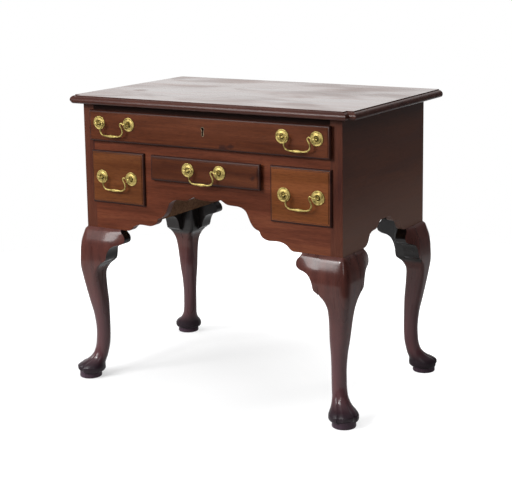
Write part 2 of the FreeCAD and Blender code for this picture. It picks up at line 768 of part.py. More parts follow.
def drawer_side(drawer, hand):
    """A side with its tails, and a groove for the bottom."""
    name = drawer.name.title() + hand.title()
    body = doc.addObject("PartDesign::Body", name + "Side")
    outer = drawer.box_left if hand == "left" else drawer.box_right
    sketch = sketch_on(body, "YZ_Plane", name + "SideOutline", side_outline(drawer))
    sketch.AttachmentOffset = FreeCAD.Placement(vector(0, 0, outer), FreeCAD.Rotation())
    pad(body, sketch, name + "SidePad", "lining", reverse=hand == "right")
    return body


def drawer_bottom(drawer):
    """A thin panel that lies in grooves of the sides and the front, and under the back."""
    lining, deep = size("lining"), size("groove_depth")
    left = drawer.box_left + lining - deep
    right = drawer.box_right - lining + deep
    start = drawer.core_back - deep
    end = size("drawer_end") - drawer.rest
    panel = doc.addObject("Part::Box", drawer.name.title() + "Bottom")
    panel.Placement.Base = vector(left, start, drawer.box_low + size("bottom_rise"))
    panel.Length = right - left
    panel.Width = end - start
    bind(panel, "Height", "bottom_thick")
    return panel


def drawer_back(drawer):
    """The board between the sides at the rear, lower than they are."""
    lining = size("lining")
    low = drawer.box_low + size("bottom_rise") + size("bottom_thick")
    board = doc.addObject("Part::Box", drawer.name.title() + "Back")
    end = size("drawer_end") - drawer.rest
    board.Placement.Base = vector(drawer.box_left + lining, end - lining, low)
    board.Length = drawer.box_right - drawer.box_left - 2 * lining
    bind(board, "Width", "lining")
    board.Height = drawer.box_high - size("back_drop") - low
    return board


def shank_hole(x, drawer):
    """Corners of the hole through the front for the shank of a handle's post."""
    radius = over_flats(size("shank_radius") + size("shank_gap"), SHANK_SIDES)
    corners = ring(vector(x, drawer.handle_height, 0), vector(0, 0, 1), vector(0, 1, 0),
                   radius, SHANK_SIDES)
    return [(corner.x, corner.y) for corner in corners]


def front_edges(feature, face):
    """Names of the straight edges that lie in the plane y = face."""
    names = []
    for index, edge in enumerate(feature.Shape.Edges, start=1):
        if all(abs(vertex.Point.y - face) < 1e-6 for vertex in edge.Vertexes):
            names.append(f"Edge{index}")
    return names


def drawer_front(drawer):
    """A lipped front: a thumb-moulded slab with a raised field, and a core that fits the opening."""
    name = drawer.name.title()
    over, thick, step = size("lip_over"), size("lip_thick"), size("field_step")
    inset = size("field_inset")
    left, right = drawer.left - over, drawer.right + over
    low, high = drawer.low - over, drawer.high + over
    body = doc.addObject("PartDesign::Body", name + "Front")

    def at(role, label, geometry, y):
        sketch = sketch_on(body, role, name + label, geometry)
        sketch.AttachmentOffset = FreeCAD.Placement(vector(0, 0, -y), FreeCAD.Rotation())
        return sketch

    lip_face = drawer.face + step
    lip_back = lip_face + thick - step - size("lip_gap")
    pad(body, at("XZ_Plane", "LipOutline", rectangle(left, right, low, high), lip_back),
        name + "Lip", "lip_thick - field_step - lip_gap")
    doc.recompute()
    slab = body.Tip
    rounding = body.newObject("PartDesign::Fillet", name + "LipRound")
    rounding.Base = (slab, front_edges(slab, lip_face))
    bind(rounding, "Radius", "lip_round")
    doc.recompute()
    field = rectangle(left + inset, right - inset, low + inset, high - inset)
    pad(body, at("XZ_Plane", "FieldOutline", field, lip_face), name + "Field", "field_step")
    core = rectangle(drawer.box_left, drawer.box_right, drawer.box_low, drawer.box_high)
    pad(body, at("XZ_Plane", "CoreOutline", core, lip_back), name + "Core",
        "core_thick + lip_gap", reverse=True)
    holes = [edge for x in drawer.posts() for edge in polygon(shank_hole(x, drawer))]
    pocket(body, at("XZ_Plane", "PostHoles", holes, drawer.face), name + "Holes",
           "lip_thick + core_thick")
    if drawer.name == "top":
        wall = size("liner_wall")
        pocket(body, at("XZ_Plane", "KeyholeOutline", keyhole(0), drawer.face),
               name + "Keyhole", "lip_thick + core_thick")
        pocket(body, at("XZ_Plane", "LinerOutline", keyhole(wall), drawer.face),
               name + "LinerSeat", "liner_depth")
    return body


def build_drawer(drawer):
    """All the wood of one drawer. The front is cut to take the tails and the bottom."""
    name = drawer.name
    sides = {hand: drawer_side(drawer, hand) for hand in ("left", "right")}
    bottom = drawer_bottom(drawer)
    front = cut(f"{name}_front_cut", drawer_front(drawer),
                [sides["left"], sides["right"], bottom])
    keep(front, f"{name}_drawer_front")
    for hand, side in sides.items():
        keep(cut(f"{name}_{hand}_grooved", side, [bottom]), f"{name}_drawer_{hand}_side")
    keep(drawer_back(drawer), f"{name}_drawer_back")
    keep(bottom, f"{name}_drawer_bottom")


# ---------------------------------------------------------------- lock

def keyhole(wall):
    """Outline of the keyhole, or of the liner round it when wall is its thickness."""
    radius, half = size("keyhole_radius") + wall, size("keyhole_half") + wall
    middle = size("keyhole_height")
    foot = middle - size("keyhole_drop") + half - wall
    start = math.degrees(math.asin(half / radius))
    points = []
    for centre, reach, first, sweep, chords in (
            (middle, radius, start - QUARTER, TURN - 2 * start, HEAD_CHORDS),
            (foot, half, 2 * QUARTER, 2 * QUARTER, FOOT_CHORDS)):
        for index in range(chords + 1):
            angle = math.radians(first + sweep * index / chords)
            points.append((reach * math.cos(angle), centre + reach * math.sin(angle)))
    return polygon(points)


def lock(drawer):
    """Liner of the keyhole, the lock's case behind the front and its sliding bolt."""
    body = doc.addObject("PartDesign::Body", "KeyholeLiner")
    sketch = sketch_on(body, "XZ_Plane", "LinerWall", keyhole(size("liner_wall")) + keyhole(0))
    sketch.AttachmentOffset = FreeCAD.Placement(vector(0, 0, -drawer.face), FreeCAD.Rotation())
    pad(body, sketch, "LinerPad", "liner_depth", reverse=True)
    keep(body, "keyhole_liner")

    back = f"({FRONT} + core_thick - {drawer.rest_name})"
    top = f"({drawer.high_name} - 2 * core_gap)"
    case = box("LockCase", ("-lock_width / 2", back, f"{top} - lock_height"),
               ("lock_width", "lock_thick", "lock_height"))
    room = box("LockRoom",
               ("-bolt_half - bolt_gap",
                f"{back} + lock_thick / 2 - bolt_thick / 2 - bolt_gap",
                f"{top} - bolt_length - bolt_gap"),
               ("2 * (bolt_half + bolt_gap)", "bolt_thick + 2 * bolt_gap",
                "bolt_length + bolt_gap"))
    keep(cut("LockCaseOpen", case, [room]), "lock_case")
    keep(box("LockBolt", ("-bolt_half", f"{back} + lock_thick / 2 - bolt_thick / 2",
                          f"{top} - bolt_length"),
             ("2 * bolt_half", "bolt_thick", "bolt_length")), "lock_bolt")


# ---------------------------------------------------------------- handles

def turned(centre, rows, sides):
    """A piece turned about an axis that points forwards, from rows of radius and distance out."""
    return facetted([ring(centre - vector(0, out, 0), vector(0, 1, 0), vector(0, 0, 1),
                          radius, sides) for radius, out in rows])


def rosette(centre):
    """A domed plate with a flat rim, a flat seat for the post and a hole for its shank."""
    radius, edge = size("rosette_radius"), size("rosette_edge")
    dome, boss = size("rosette_dome"), size("rosette_boss")
    plate = turned(centre, [(radius, 0), (radius, edge), ((radius + boss) / 2, 0.8 * dome),
                            (boss, dome)], ROSETTE_SIDES)
    hole = over_flats(size("shank_radius") + size("shank_gap"), SHANK_SIDES)
    return plate.cut(turned(centre, [(hole, -dome), (hole, 2 * dome)], SHANK_SIDES))


def bolt(centre):
    """A handle's post with its eye for the bail, and the shank that goes through the front."""
    radius, reach, shank = size("post_radius"), size("post_reach"), size("shank_radius")
    dome, ease = size("rosette_dome"), size("post_ease")
    end = -(size("lip_thick") + size("core_thick") + size("nut_thick") + size("shank_over"))
    knob = turned(centre, [(radius - ease, dome), (radius, dome + ease),
                           (radius, reach - ease), (radius - ease, reach)], POST_SIDES)
    stem = turned(centre, [(shank, end), (shank, dome)], SHANK_SIDES)
    eye_radius = over_flats(size("rod_radius") + size("pin_gap"), ROD_SIDES)
    eye_start = centre - vector(2 * radius, size("pivot_out"), 0)
    eye = Part.Face(closed(ring(eye_start, vector(1, 0, 0), vector(0, 0, 1), eye_radius,
                                ROD_SIDES))).extrude(vector(4 * radius, 0, 0))
    return knob.fuse(stem).cut(eye)


def nut(centre, drawer):
    """A square nut against the inner face of the drawer front."""
    side, thick = size("nut_side"), size("nut_thick")
    plate = Part.makeBox(side, thick, side,
                         vector(centre.x - side / 2, drawer.core_back, centre.z - side / 2))
    hole = turned(centre, [(size("shank_radius"), -size("case_depth")),
                           (size("shank_radius"), 0)], SHANK_SIDES)
    return plate.cut(hole)


def bail_stations():
    """Right half of the bail's rod, from its pin to the grip: places and headings.

    It leaves the post towards the middle, rises over, turns back outwards, runs down and
    comes round the lower corner to the grip. The pins' axis is the X axis.
    """
    start = size("handle_span") / 2 + size("post_radius") + size("pin_over") / 2
    stations = [(vector(start, 0, 0), 180.0)]

    def heading(degrees):
        angle = math.radians(degrees)
        return vector(math.cos(angle), 0, math.sin(angle))

    def ahead(distance):
        spot, towards = stations[-1]
        stations.append((spot + heading(towards) * distance, towards))

    def turn(radius, degrees):
        spot, towards = stations[-1]
        side = math.copysign(90, degrees)
        middle = spot + heading(towards + side) * radius
        steps = math.ceil(abs(degrees) / BEND_STEP)
        for step in range(1, steps + 1):
            now = towards + degrees * step / steps
            stations.append((middle + heading(now - side) * radius, now))

    ahead(start - size("handle_span") / 2 + size("neck_start"))
    turn(size("neck_rise_radius"), -NECK_RISE)
    turn(size("neck_radius"), NECK_RISE + NECK_FALL)
    ahead(size("neck_run"))
    turn(size("corner_radius"), -NECK_FALL)
    ahead(stations[-1][0].x - size("grip_length") / 2)
    return [(spot, heading(towards)) for spot, towards in stations]


def bail(name, middle, drawer):
    """A swan-neck bail with a grip that is thickest in the middle."""
    rod, thickest = size("rod_radius"), size("grip_radius")
    right = bail_stations()
    end = right[-1][0]
    left = [(vector(-spot.x, 0, spot.z), vector(towards.x, 0, -towards.z))
            for spot, towards in reversed(right)]
    grip = []
    for share in GRIP_PLACES:
        radius = rod + (thickest - rod) * math.cos(share * math.pi / 2)
        grip.append((vector(end.x * share, 0, end.z), vector(-1, 0, 0), radius))
    stations = [(spot, towards, rod) for spot, towards in right]
    stations += grip + [(spot, towards, rod) for spot, towards in left]
    thing = doc.addObject("Part::Feature", name.title().replace("_", "") + "Bail")
    thing.Shape = facetted([ring(spot, towards, vector(0, 1, 0), radius, ROD_SIDES)
                            for spot, towards, radius in stations])
    thing.Placement.Base = vector(middle, drawer.face - size("pivot_out"), drawer.handle_height)
    return keep(thing, f"{name}_bail")


def handles(drawer):
    """Rosettes, posts with nuts and bails of one drawer."""
    centres = [vector(x, drawer.face, drawer.handle_height) for x in drawer.posts()]
    plates = doc.addObject("Part::Feature", drawer.name.title() + "Rosettes")
    plates.Shape = Part.makeCompound([rosette(centre) for centre in centres])
    keep(plates, f"{drawer.name}_drawer_rosettes")
    fixings = doc.addObject("Part::Feature", drawer.name.title() + "Posts")
    shapes = [bolt(centre) for centre in centres]
    shapes += [nut(centre, drawer) for centre in centres]
    fixings.Shape = Part.makeCompound(shapes)
    keep(fixings, f"{drawer.name}_drawer_posts")
    for middle in drawer.handles:
        name = drawer.name
        if len(drawer.handles) > 1:
            name += "_left" if middle < 0 else "_right"
        bail(name, middle, drawer)


# ---------------------------------------------------------------- build, check and write

def build():
    mortises = {corner: [] for corner in LEGS}
    top_board()
    side_boards(mortises)
    rails(mortises)
    front_apron(mortises)
    back_board(mortises)
    dividers_and_partitions()
    runners()
    glue_blocks()
    legs(mortises)
    knee_blocks()
    for drawer in drawers():
        build_drawer(drawer)
        handles(drawer)
        if drawer.name == "top":
            lock(drawer)
    doc.recompute()


def check():
    """Stops before anything is written if an object failed."""
    for thing in doc.Objects:
        if "Invalid" in thing.State or "Error" in thing.State:
            raise RuntimeError(f"{thing.Name}: {thing.State}")
    for thing in KEPT:
        if thing.Shape.isNull() or not thing.Shape.isValid():
            raise RuntimeError(f"{thing.Label} has no valid shape")
        if not thing.Shape.Solids:
            raise RuntimeError(f"{thing.Label} has no solid")


def write():
    os.makedirs("parts", exist_ok=True)
    for thing in KEPT:
        thing.Shape.exportStep(f"parts/{thing.Label}.step")
        box_now = thing.Shape.BoundBox
        print(f"{thing.Label}: {len(thing.Shape.Solids)} solid(s), "
              f"{box_now.XLength:.1f} x {box_now.YLength:.1f} x {box_now.ZLength:.1f} mm")


build()
check()
write()
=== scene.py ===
"""A lowboy in polished mahogany, on four cabriole legs, with brass swan-neck handles.

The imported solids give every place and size. The boards are copies of their solids with
arrises worn a little round. The legs, the knee blocks and the brass are made afresh and
smooth, in the places of the solids that they stand for.
"""

import logging
import math
from dataclasses import dataclass, field
from enum import Enum
from typing import Callable, Iterable, Sequence

import bmesh
import bpy
from bmesh.types import BMEdge, BMesh, BMVert
from bpy.types import Material, Node, NodeSocket, NodeTree, Object
from mathutils import Matrix, Vector


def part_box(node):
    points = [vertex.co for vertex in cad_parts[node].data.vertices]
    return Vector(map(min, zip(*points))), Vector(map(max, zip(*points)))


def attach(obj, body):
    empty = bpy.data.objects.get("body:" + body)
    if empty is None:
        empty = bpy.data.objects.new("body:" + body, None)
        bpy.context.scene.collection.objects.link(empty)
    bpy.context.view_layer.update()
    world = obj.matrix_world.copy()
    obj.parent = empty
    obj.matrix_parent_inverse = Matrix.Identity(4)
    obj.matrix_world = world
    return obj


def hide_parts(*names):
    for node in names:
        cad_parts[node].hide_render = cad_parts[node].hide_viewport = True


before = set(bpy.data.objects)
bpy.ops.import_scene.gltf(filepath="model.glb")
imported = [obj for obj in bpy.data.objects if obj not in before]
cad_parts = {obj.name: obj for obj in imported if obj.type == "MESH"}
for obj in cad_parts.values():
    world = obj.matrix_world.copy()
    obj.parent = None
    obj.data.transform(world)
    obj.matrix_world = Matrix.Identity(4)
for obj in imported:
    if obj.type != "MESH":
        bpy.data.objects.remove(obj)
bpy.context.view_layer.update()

MM = 0.001
LOG = logging.getLogger("lowboy")
FRONT = Vector((0, -1, 0))

SAME_POINT = 0.002 * MM  # corners closer than this are one
FLUSH = 0.1 * MM  # points closer than this lie in one plane
BESIDE = 0.5 * MM  # an arris closer than this to a post's face lies along it
NOISE_LOW, NOISE_HIGH = 0.3, 0.7  # where nearly all of a noise texture's values lie


# ---------------------------------------------------------------- helpers for shapes

def eased(rows: Sequence[Sequence[float]], at: float) -> list[float]:
    """Reads values off smooth curves that pass through every row and never overshoot.

    Args:
        rows: Rows of a place and the values there, with the places rising.
        at: The place to read at.

    Returns:
        The values at that place.
    """
    last = len(rows) - 2
    index = next((i for i in range(last) if at <= rows[i + 1][0]), last)
    low, high = rows[index], rows[index + 1]
    span = high[0] - low[0]
    share = min(max((at - low[0]) / span, 0.0), 1.0)

    def steepness(row: int, column: int) -> float:
        """Finds how fast a column changes at a row: not at all at its peaks and ends.

        Args:
            row: The row's number.
            column: The column's number.

        Returns:
            The change of the value for a change of one in the place.
        """
        if row == 0 or row == len(rows) - 1:
            return 0.0
        before = (rows[row][column] - rows[row - 1][column]) / (rows[row][0] - rows[row - 1][0])
        after = (rows[row + 1][column] - rows[row][column]) / (rows[row + 1][0] - rows[row][0])
        return 0.0 if before * after <= 0 else 2 * before * after / (before + after)

    values = []
    for column in range(1, len(low)):
        start, end = steepness(index, column) * span, steepness(index + 1, column) * span
        rise = high[column] - low[column]
        values.append(low[column] + share * (start + share * (
            3 * rise - 2 * start - end + share * (start + end - 2 * rise))))
    return values


def steps(low: float, high: float, count: int) -> list[float]:
    """Evenly spaced numbers from low up to, but not with, high."""
    return [low + (high - low) * index / count for index in range(count)]


def patch(columns: int, rows: int, place: Callable[[int, int], Vector]) -> BMesh:
    """Lays a grid over a surface.

    Args:
        columns: Panels across.
        rows: Panels down.
        place: Gives the position of a corner from its column and row.

    Returns:
        A mesh of columns by rows panels.
    """
    bm = bmesh.new()
    bmesh.ops.create_grid(bm, x_segments=columns, y_segments=rows, size=1.0)
    for vert in bm.verts:
        column = round((vert.co.x + 1) / 2 * columns)
        row = round((vert.co.y + 1) / 2 * rows)
        vert.co = place(column, row)
    return bm


def turned(profile: Sequence[tuple[float, float]], centre: Vector,
           sides: int) -> BMesh:
    """Turns a profile about a line that points forwards.

    Args:
        profile: Rows of radius and distance forwards, in mm.
        centre: Where the line starts.
        sides: Panels round the full turn.

    Returns:
        The turned mesh, closed at its seam and poles.
    """
    bm = bmesh.new()
    verts = [bm.verts.new(centre + FRONT * (out * MM) + Vector((radius * MM, 0, 0)))
             for radius, out in profile]
    edges = [bm.edges.new(pair) for pair in zip(verts, verts[1:])]
    bmesh.ops.spin(bm, geom=verts + edges, cent=centre, axis=FRONT, angle=math.tau,
                   steps=sides, use_merge=True)
    return tidied(bm)


def tidied(bm: BMesh) -> BMesh:
    """Closes seams and poles, fills open ends and turns every face outwards.

    Args:
        bm: The mesh, which is changed.

    Returns:
        The same mesh.
    """
    bmesh.ops.remove_doubles(bm, verts=bm.verts[:], dist=SAME_POINT)
    bmesh.ops.holes_fill(bm, edges=[edge for edge in bm.edges if edge.is_boundary], sides=0)
    bmesh.ops.recalc_face_normals(bm, faces=bm.faces[:])
    return bm


def soften(bm: BMesh, width: float, sharper_than: float = 40.0,
           segments: int = 2,
           spared: Callable[[BMEdge], bool] = lambda edge: False) -> None:
    """Rounds the arrises of a mesh.

    Args:
        bm: The mesh.
        width: Width of the rounding, in mm.
        sharper_than: Least angle between faces that counts as an arris, in degrees.
        segments: Facets across the rounding.
        spared: Says which arrises stay sharp.
    """
    arrises = [edge for edge in bm.edges if edge.is_manifold and not spared(edge)
               and edge.calc_face_angle(0) > math.radians(sharper_than)]
    bmesh.ops.bevel(bm, geom=arrises, offset=width * MM, offset_type="OFFSET",
                    affect="EDGES", segments=segments, profile=0.5, material=-1,
                    clamp_overlap=True)


def finished(name: str, bm: BMesh, smooth_to: float = 35.0) -> Object:
    """Makes an object of a mesh.

    Args:
        name: The object's name.
        bm: The mesh, which is freed.
        smooth_to: Faces that meet at less than this many degrees are shaded as one.

    Returns:
        The object, at the origin.
    """
    mesh = bpy.data.meshes.new(name)
    bm.to_mesh(mesh)
    bm.free()
    mesh.shade_smooth()
    mesh.set_sharp_from_angle(angle=math.radians(smooth_to))
    piece = bpy.data.objects.new(name, mesh)
    bpy.context.scene.collection.objects.link(piece)
    level = piece.modifiers.new("flats stay flat", "WEIGHTED_NORMAL")
    level.keep_sharp = True
    return piece


def joined(meshes: Iterable[BMesh]) -> BMesh:
    """Gathers several meshes into one.

    Args:
        meshes: The meshes, which are freed.

    Returns:
        One mesh of them all.
    """
    whole = bmesh.new()
    for bm in meshes:
        mesh = bpy.data.meshes.new("part")
        bm.to_mesh(mesh)
        bm.free()
        whole.from_mesh(mesh)
        bpy.data.meshes.remove(mesh)
    return whole


def flipped(bm: BMesh, right: int, rear: int) -> BMesh:
    """Carries a front right shape to another corner of the table.

    Args:
        bm: The shape, which is changed.
        right: 1 for the right of the table, -1 for the left.
        rear: 1 for the rear, -1 for the front.

    Returns:
        The same mesh, in its corner.
    """
    bmesh.ops.scale(bm, vec=Vector((right, -rear, 1)), verts=bm.verts[:])
    bmesh.ops.recalc_face_normals(bm, faces=bm.faces[:])
    return bm


def solid_copy(node: str, flat_to: float = 0.5) -> BMesh:
    """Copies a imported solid.

    Args:
        node: The solid's name.
        flat_to: Faces that meet at less than this many degrees become one.

    Returns:
        The merged copy.
    """
    bm = bmesh.new()
    bm.from_mesh(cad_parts[node].data)
    bmesh.ops.remove_doubles(bm, verts=bm.verts[:], dist=SAME_POINT)
    bmesh.ops.dissolve_limit(bm, angle_limit=math.radians(flat_to), verts=bm.verts[:],
                             edges=bm.edges[:])
    return bm


def place_piece(piece: Object, body: str, nodes: Iterable[str]) -> None:
    """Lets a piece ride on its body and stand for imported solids, and reports it.

    Args:
        piece: The finished piece.
        body: The body that it rides on.
        nodes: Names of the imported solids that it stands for.
    """
    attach(piece, body)
    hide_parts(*nodes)
    LOG.info("%s: %d faces", piece.name, len(piece.data.polygons))


# ---------------------------------------------------------------- finishes

def linear(colour: str) -> tuple[float, float, float, float]:
    """Turns an sRGB colour into linear values.

    Args:
        colour: The colour as a hex code with its sign.

    Returns:
        Linear red, green and blue, and full opacity.
    """
    values = []
    for index in (1, 3, 5):
        channel = int(colour[index:index + 2], 16) / 255
        values.append(channel / 12.92 if channel <= 0.04045
                      else ((channel + 0.055) / 1.055) ** 2.4)
    return (*values, 1.0)


def add_node(tree: NodeTree, kind: str, settings: dict | None = None,
             links: dict | None = None) -> Node:
    """Adds a node with its settings and links.

    Args:
        tree: The tree that gets the node.
        kind: The node's type name.
        settings: Values by the name of an attribute or input, or by the input's number.
            The stops of a colour ramp are pairs of a position and a colour.
        links: Output sockets by the name or number of the input that each feeds.

    Returns:
        The new node.
    """
    node = tree.nodes.new(kind)
    for name, value in (settings or {}).items():
        if name == "stops":
            ramp = node.color_ramp.elements
            for element, (position, colour) in zip((ramp[0], ramp[1]), value):
                element.position, element.color = position, colour
            for position, colour in value[2:]:
                ramp.new(position).color = colour
        elif isinstance(name, str) and hasattr(node, name):
            setattr(node, name, value)
        else:
            node.inputs[name].default_value = value
    for name, source in (links or {}).items():
        tree.links.new(source, node.inputs[name])
    return node


def metres(span: tuple[float, float]) -> tuple[float, float]:
    """Turns two lengths in mm into metres."""
    return span[0] * MM, span[1] * MM


def along_axis(tree: NodeTree, place: NodeSocket, axis: str) -> NodeSocket:
    """Reads one axis of a position: X, Y or Z."""
    return add_node(tree, "ShaderNodeSeparateXYZ", links={0: place}).outputs[axis]


def noise(tree: NodeTree, place: NodeSocket, width: float, detail: float,
          bend: float = 0.0, output: str = "Fac") -> NodeSocket:
    """Adds a soft noise.

    Args:
        tree: The tree that gets the node.
        place: Where the noise is read.
        width: Width of its largest patches, in mm.
        detail: How many finer layers it has.
        bend: How far it is bent.
        output: The output that is used, Fac or Color.

    Returns:
        The noise.
    """
    return add_node(tree, "ShaderNodeTexNoise",
                    {"Scale": 1 / (width * MM), "Detail": detail, "Distortion": bend},
                    {"Vector": place}).outputs[output]


def ranged(tree: NodeTree, value: NodeSocket, span: tuple[float, float],
           to: tuple[float, float] = (0.0, 1.0), kind: str = "SMOOTHSTEP") -> NodeSocket:
    """Maps one span of values onto another, and holds it level past the ends.

    Args:
        tree: The tree that gets the node.
        value: The value that is mapped.
        span: Two readings of it, in either order.
        to: What they become.
        kind: SMOOTHSTEP to leave both ends gently, or LINEAR.

    Returns:
        The mapped value.
    """
    return add_node(tree, "ShaderNodeMapRange",
                    {"interpolation_type": kind, "From Min": span[0], "From Max": span[1],
                     "To Min": to[0], "To Max": to[1]}, {"Value": value}).outputs[0]


def tinted(tree: NodeTree, colour: NodeSocket, tint: str, share: NodeSocket) -> NodeSocket:
    """Mixes a tint into a colour.

    Args:
        tree: The tree that gets the node.
        colour: The colour before.
        tint: The tint as a hex code.
        share: How much of it shows, from 0 to 1.

    Returns:
        The mixed colour.
    """
    return add_node(tree, "ShaderNodeMix", {"data_type": "RGBA", 7: linear(tint)},
                    {0: share, 6: colour}).outputs[2]


def seen_mirrored(tree: NodeTree) -> NodeSocket:
    """Picks out mirrored and transmitted rays.

    Args:
        tree: The tree that gets the nodes.

    Returns:
        One for those rays, and nought for all others.
    """
    path = add_node(tree, "ShaderNodeLightPath").outputs
    return add_node(tree, "ShaderNodeMath", {"operation": "MAXIMUM"},
                    {0: path["Is Glossy Ray"], 1: path["Is Transmission Ray"]}).outputs[0]


class Grain(Enum):
    """Which way the grain of a board runs."""

    ACROSS = 0
    DEEP = 1
    UPRIGHT = 2

    def squeezed(self, share: float) -> tuple[float, float, float]:
        """Scale of a pattern that is drawn out along the grain."""
        return tuple(share if axis == self.value else 1.0 for axis in range(3))


@dataclass(frozen=True)
class Finish:
    """What every finish has.

    Attributes:
        name: The material's name.
    """

    name: str

    def make(self) -> Material:
        """Makes the material on its first use.

        Returns:
            The material.
        """
        known = bpy.data.materials.get(self.name)
        if known:
            return known
        material = bpy.data.materials.new(self.name)
        material.use_nodes = True
        tree = material.node_tree
        tree.nodes.clear()
        shader = self.shade(tree)
        add_node(tree, "ShaderNodeOutputMaterial", links={"Surface": shader})
        return material

    def shade(self, tree: NodeTree) -> NodeSocket:
        """Builds the finish's nodes and returns the shader's output."""
        raise NotImplementedError


@dataclass(frozen=True)
class Mahogany(Finish):
    """Old mahogany, hand planed and polished with shellac and wax.

    Close red brown grain with long darker streaks and slow changes of tone from figure and
    age. The polish gives a soft sheen, stronger where hands and cloths have rubbed it.

    Attributes:
        grain: The way that the grain runs.
        dark: Colour of the dark streaks.
        body: Colour of most of the wood.
        light: Colour of the light streaks.
        roughness: Roughness of the polish.
        coat: Weight of the polish over the wood.
        coat_roughness: Roughness of that polish.
        sheen_level: Strength of the wood's own reflection.
        unevenness: How far the roughness strays with the figure.
        streaking: Share of the streaks in the tone.
        pore: What darkens the wood in its pores.
        pore_share: How much of that shows.
    """

    grain: Grain
    dark: str
    body: str
    light: str
    roughness: float = 0.34
    coat: float = 0.1
    coat_roughness: float = 0.16
    sheen_level: float = 0.2
    unevenness: float = 0.05
    streaking: float = 0.3
    pore: str = "#D2CCC8"
    pore_share: float = 0.8

    def shade(self, tree: NodeTree) -> NodeSocket:
        """Builds the figure, streaks, pores and polish.

        Args:
            tree: The material's tree.

        Returns:
            The shader's output.
        """
        place = add_node(tree, "ShaderNodeTexCoord").outputs["Object"]
        # Width in mm, squeeze along the grain, detail and bend of the figure, the streaks and
        # the pores. Pores are 0.2 mm wide in the wood, and are drawn wider so that they show.
        layers = []
        for width, squeeze, detail, bend in ((45, 0.12, 3, 0.9), (5, 0.035, 3, 0.4),
                                             (0.9, 0.05, 1, 0.0)):
            along = add_node(tree, "ShaderNodeMapping", {"Scale": self.grain.squeezed(squeeze)},
                             {"Vector": place})
            layers.append(noise(tree, along.outputs["Vector"], width, detail, bend))
        figure, streaks, pores = layers
        tone = add_node(tree, "ShaderNodeMix", {"data_type": "FLOAT", 0: self.streaking},
                        {2: figure, 3: streaks}).outputs[0]
        wood = add_node(tree, "ShaderNodeValToRGB",
                        {"stops": [(NOISE_LOW, linear(self.dark)),
                                   (NOISE_HIGH, linear(self.light)),
                                   (0.5, linear(self.body))]}, {"Fac": tone}).outputs["Color"]
        shade = add_node(tree, "ShaderNodeValToRGB",
                         {"stops": [(0.34, linear(self.pore)), (0.5, linear("#FFFFFF"))]},
                         {"Fac": pores}).outputs["Color"]
        colour = add_node(tree, "ShaderNodeMix",
                          {"data_type": "RGBA", "blend_type": "MULTIPLY", 0: self.pore_share},
                          {6: wood, 7: shade}).outputs[2]
        rough = ranged(tree, figure, (NOISE_LOW, NOISE_HIGH),
                       (self.roughness - self.unevenness, self.roughness + self.unevenness),
                       "LINEAR")
        colour, rough = self.retoned(tree, place, colour, rough)
        # The open pores are 0.1 mm deep.
        relief = add_node(tree, "ShaderNodeBump", {"Strength": 0.15, "Distance": 0.1 * MM},
                          {"Height": pores})
        wood = add_node(tree, "ShaderNodeBsdfPrincipled",
                        {"IOR": 1.5, "Specular IOR Level": self.sheen_level,
                         "Coat Weight": self.coat, "Coat Roughness": self.coat_roughness},
                        {"Base Color": colour, "Roughness": rough,
                         "Normal": relief.outputs["Normal"]})
        self.rubbed(tree, place, wood)
        return wood.outputs["BSDF"]

    def rubbed(self, tree: NodeTree, place: NodeSocket, wood: Node) -> None:
        """Thins the polish where use did. Plain boards keep theirs.

        Args:
            tree: The material's tree.
            place: Object coordinates.
            wood: The wood's shader, whose polish is thinned.
        """

    def retoned(self, tree: NodeTree, place: NodeSocket, colour: NodeSocket,
             rough: NodeSocket) -> tuple[NodeSocket, NodeSocket]:
        """Changes the colour and the roughness in places: marks and wear, with painted shade on
        the legs and a painted reflection on the sides. Plain boards keep theirs.

        Args:
            tree: The material's tree.
            place: Object coordinates.
            colour: The wood's colour.
            rough: Its roughness.

        Returns:
            Both, changed.
        """
        return colour, rough


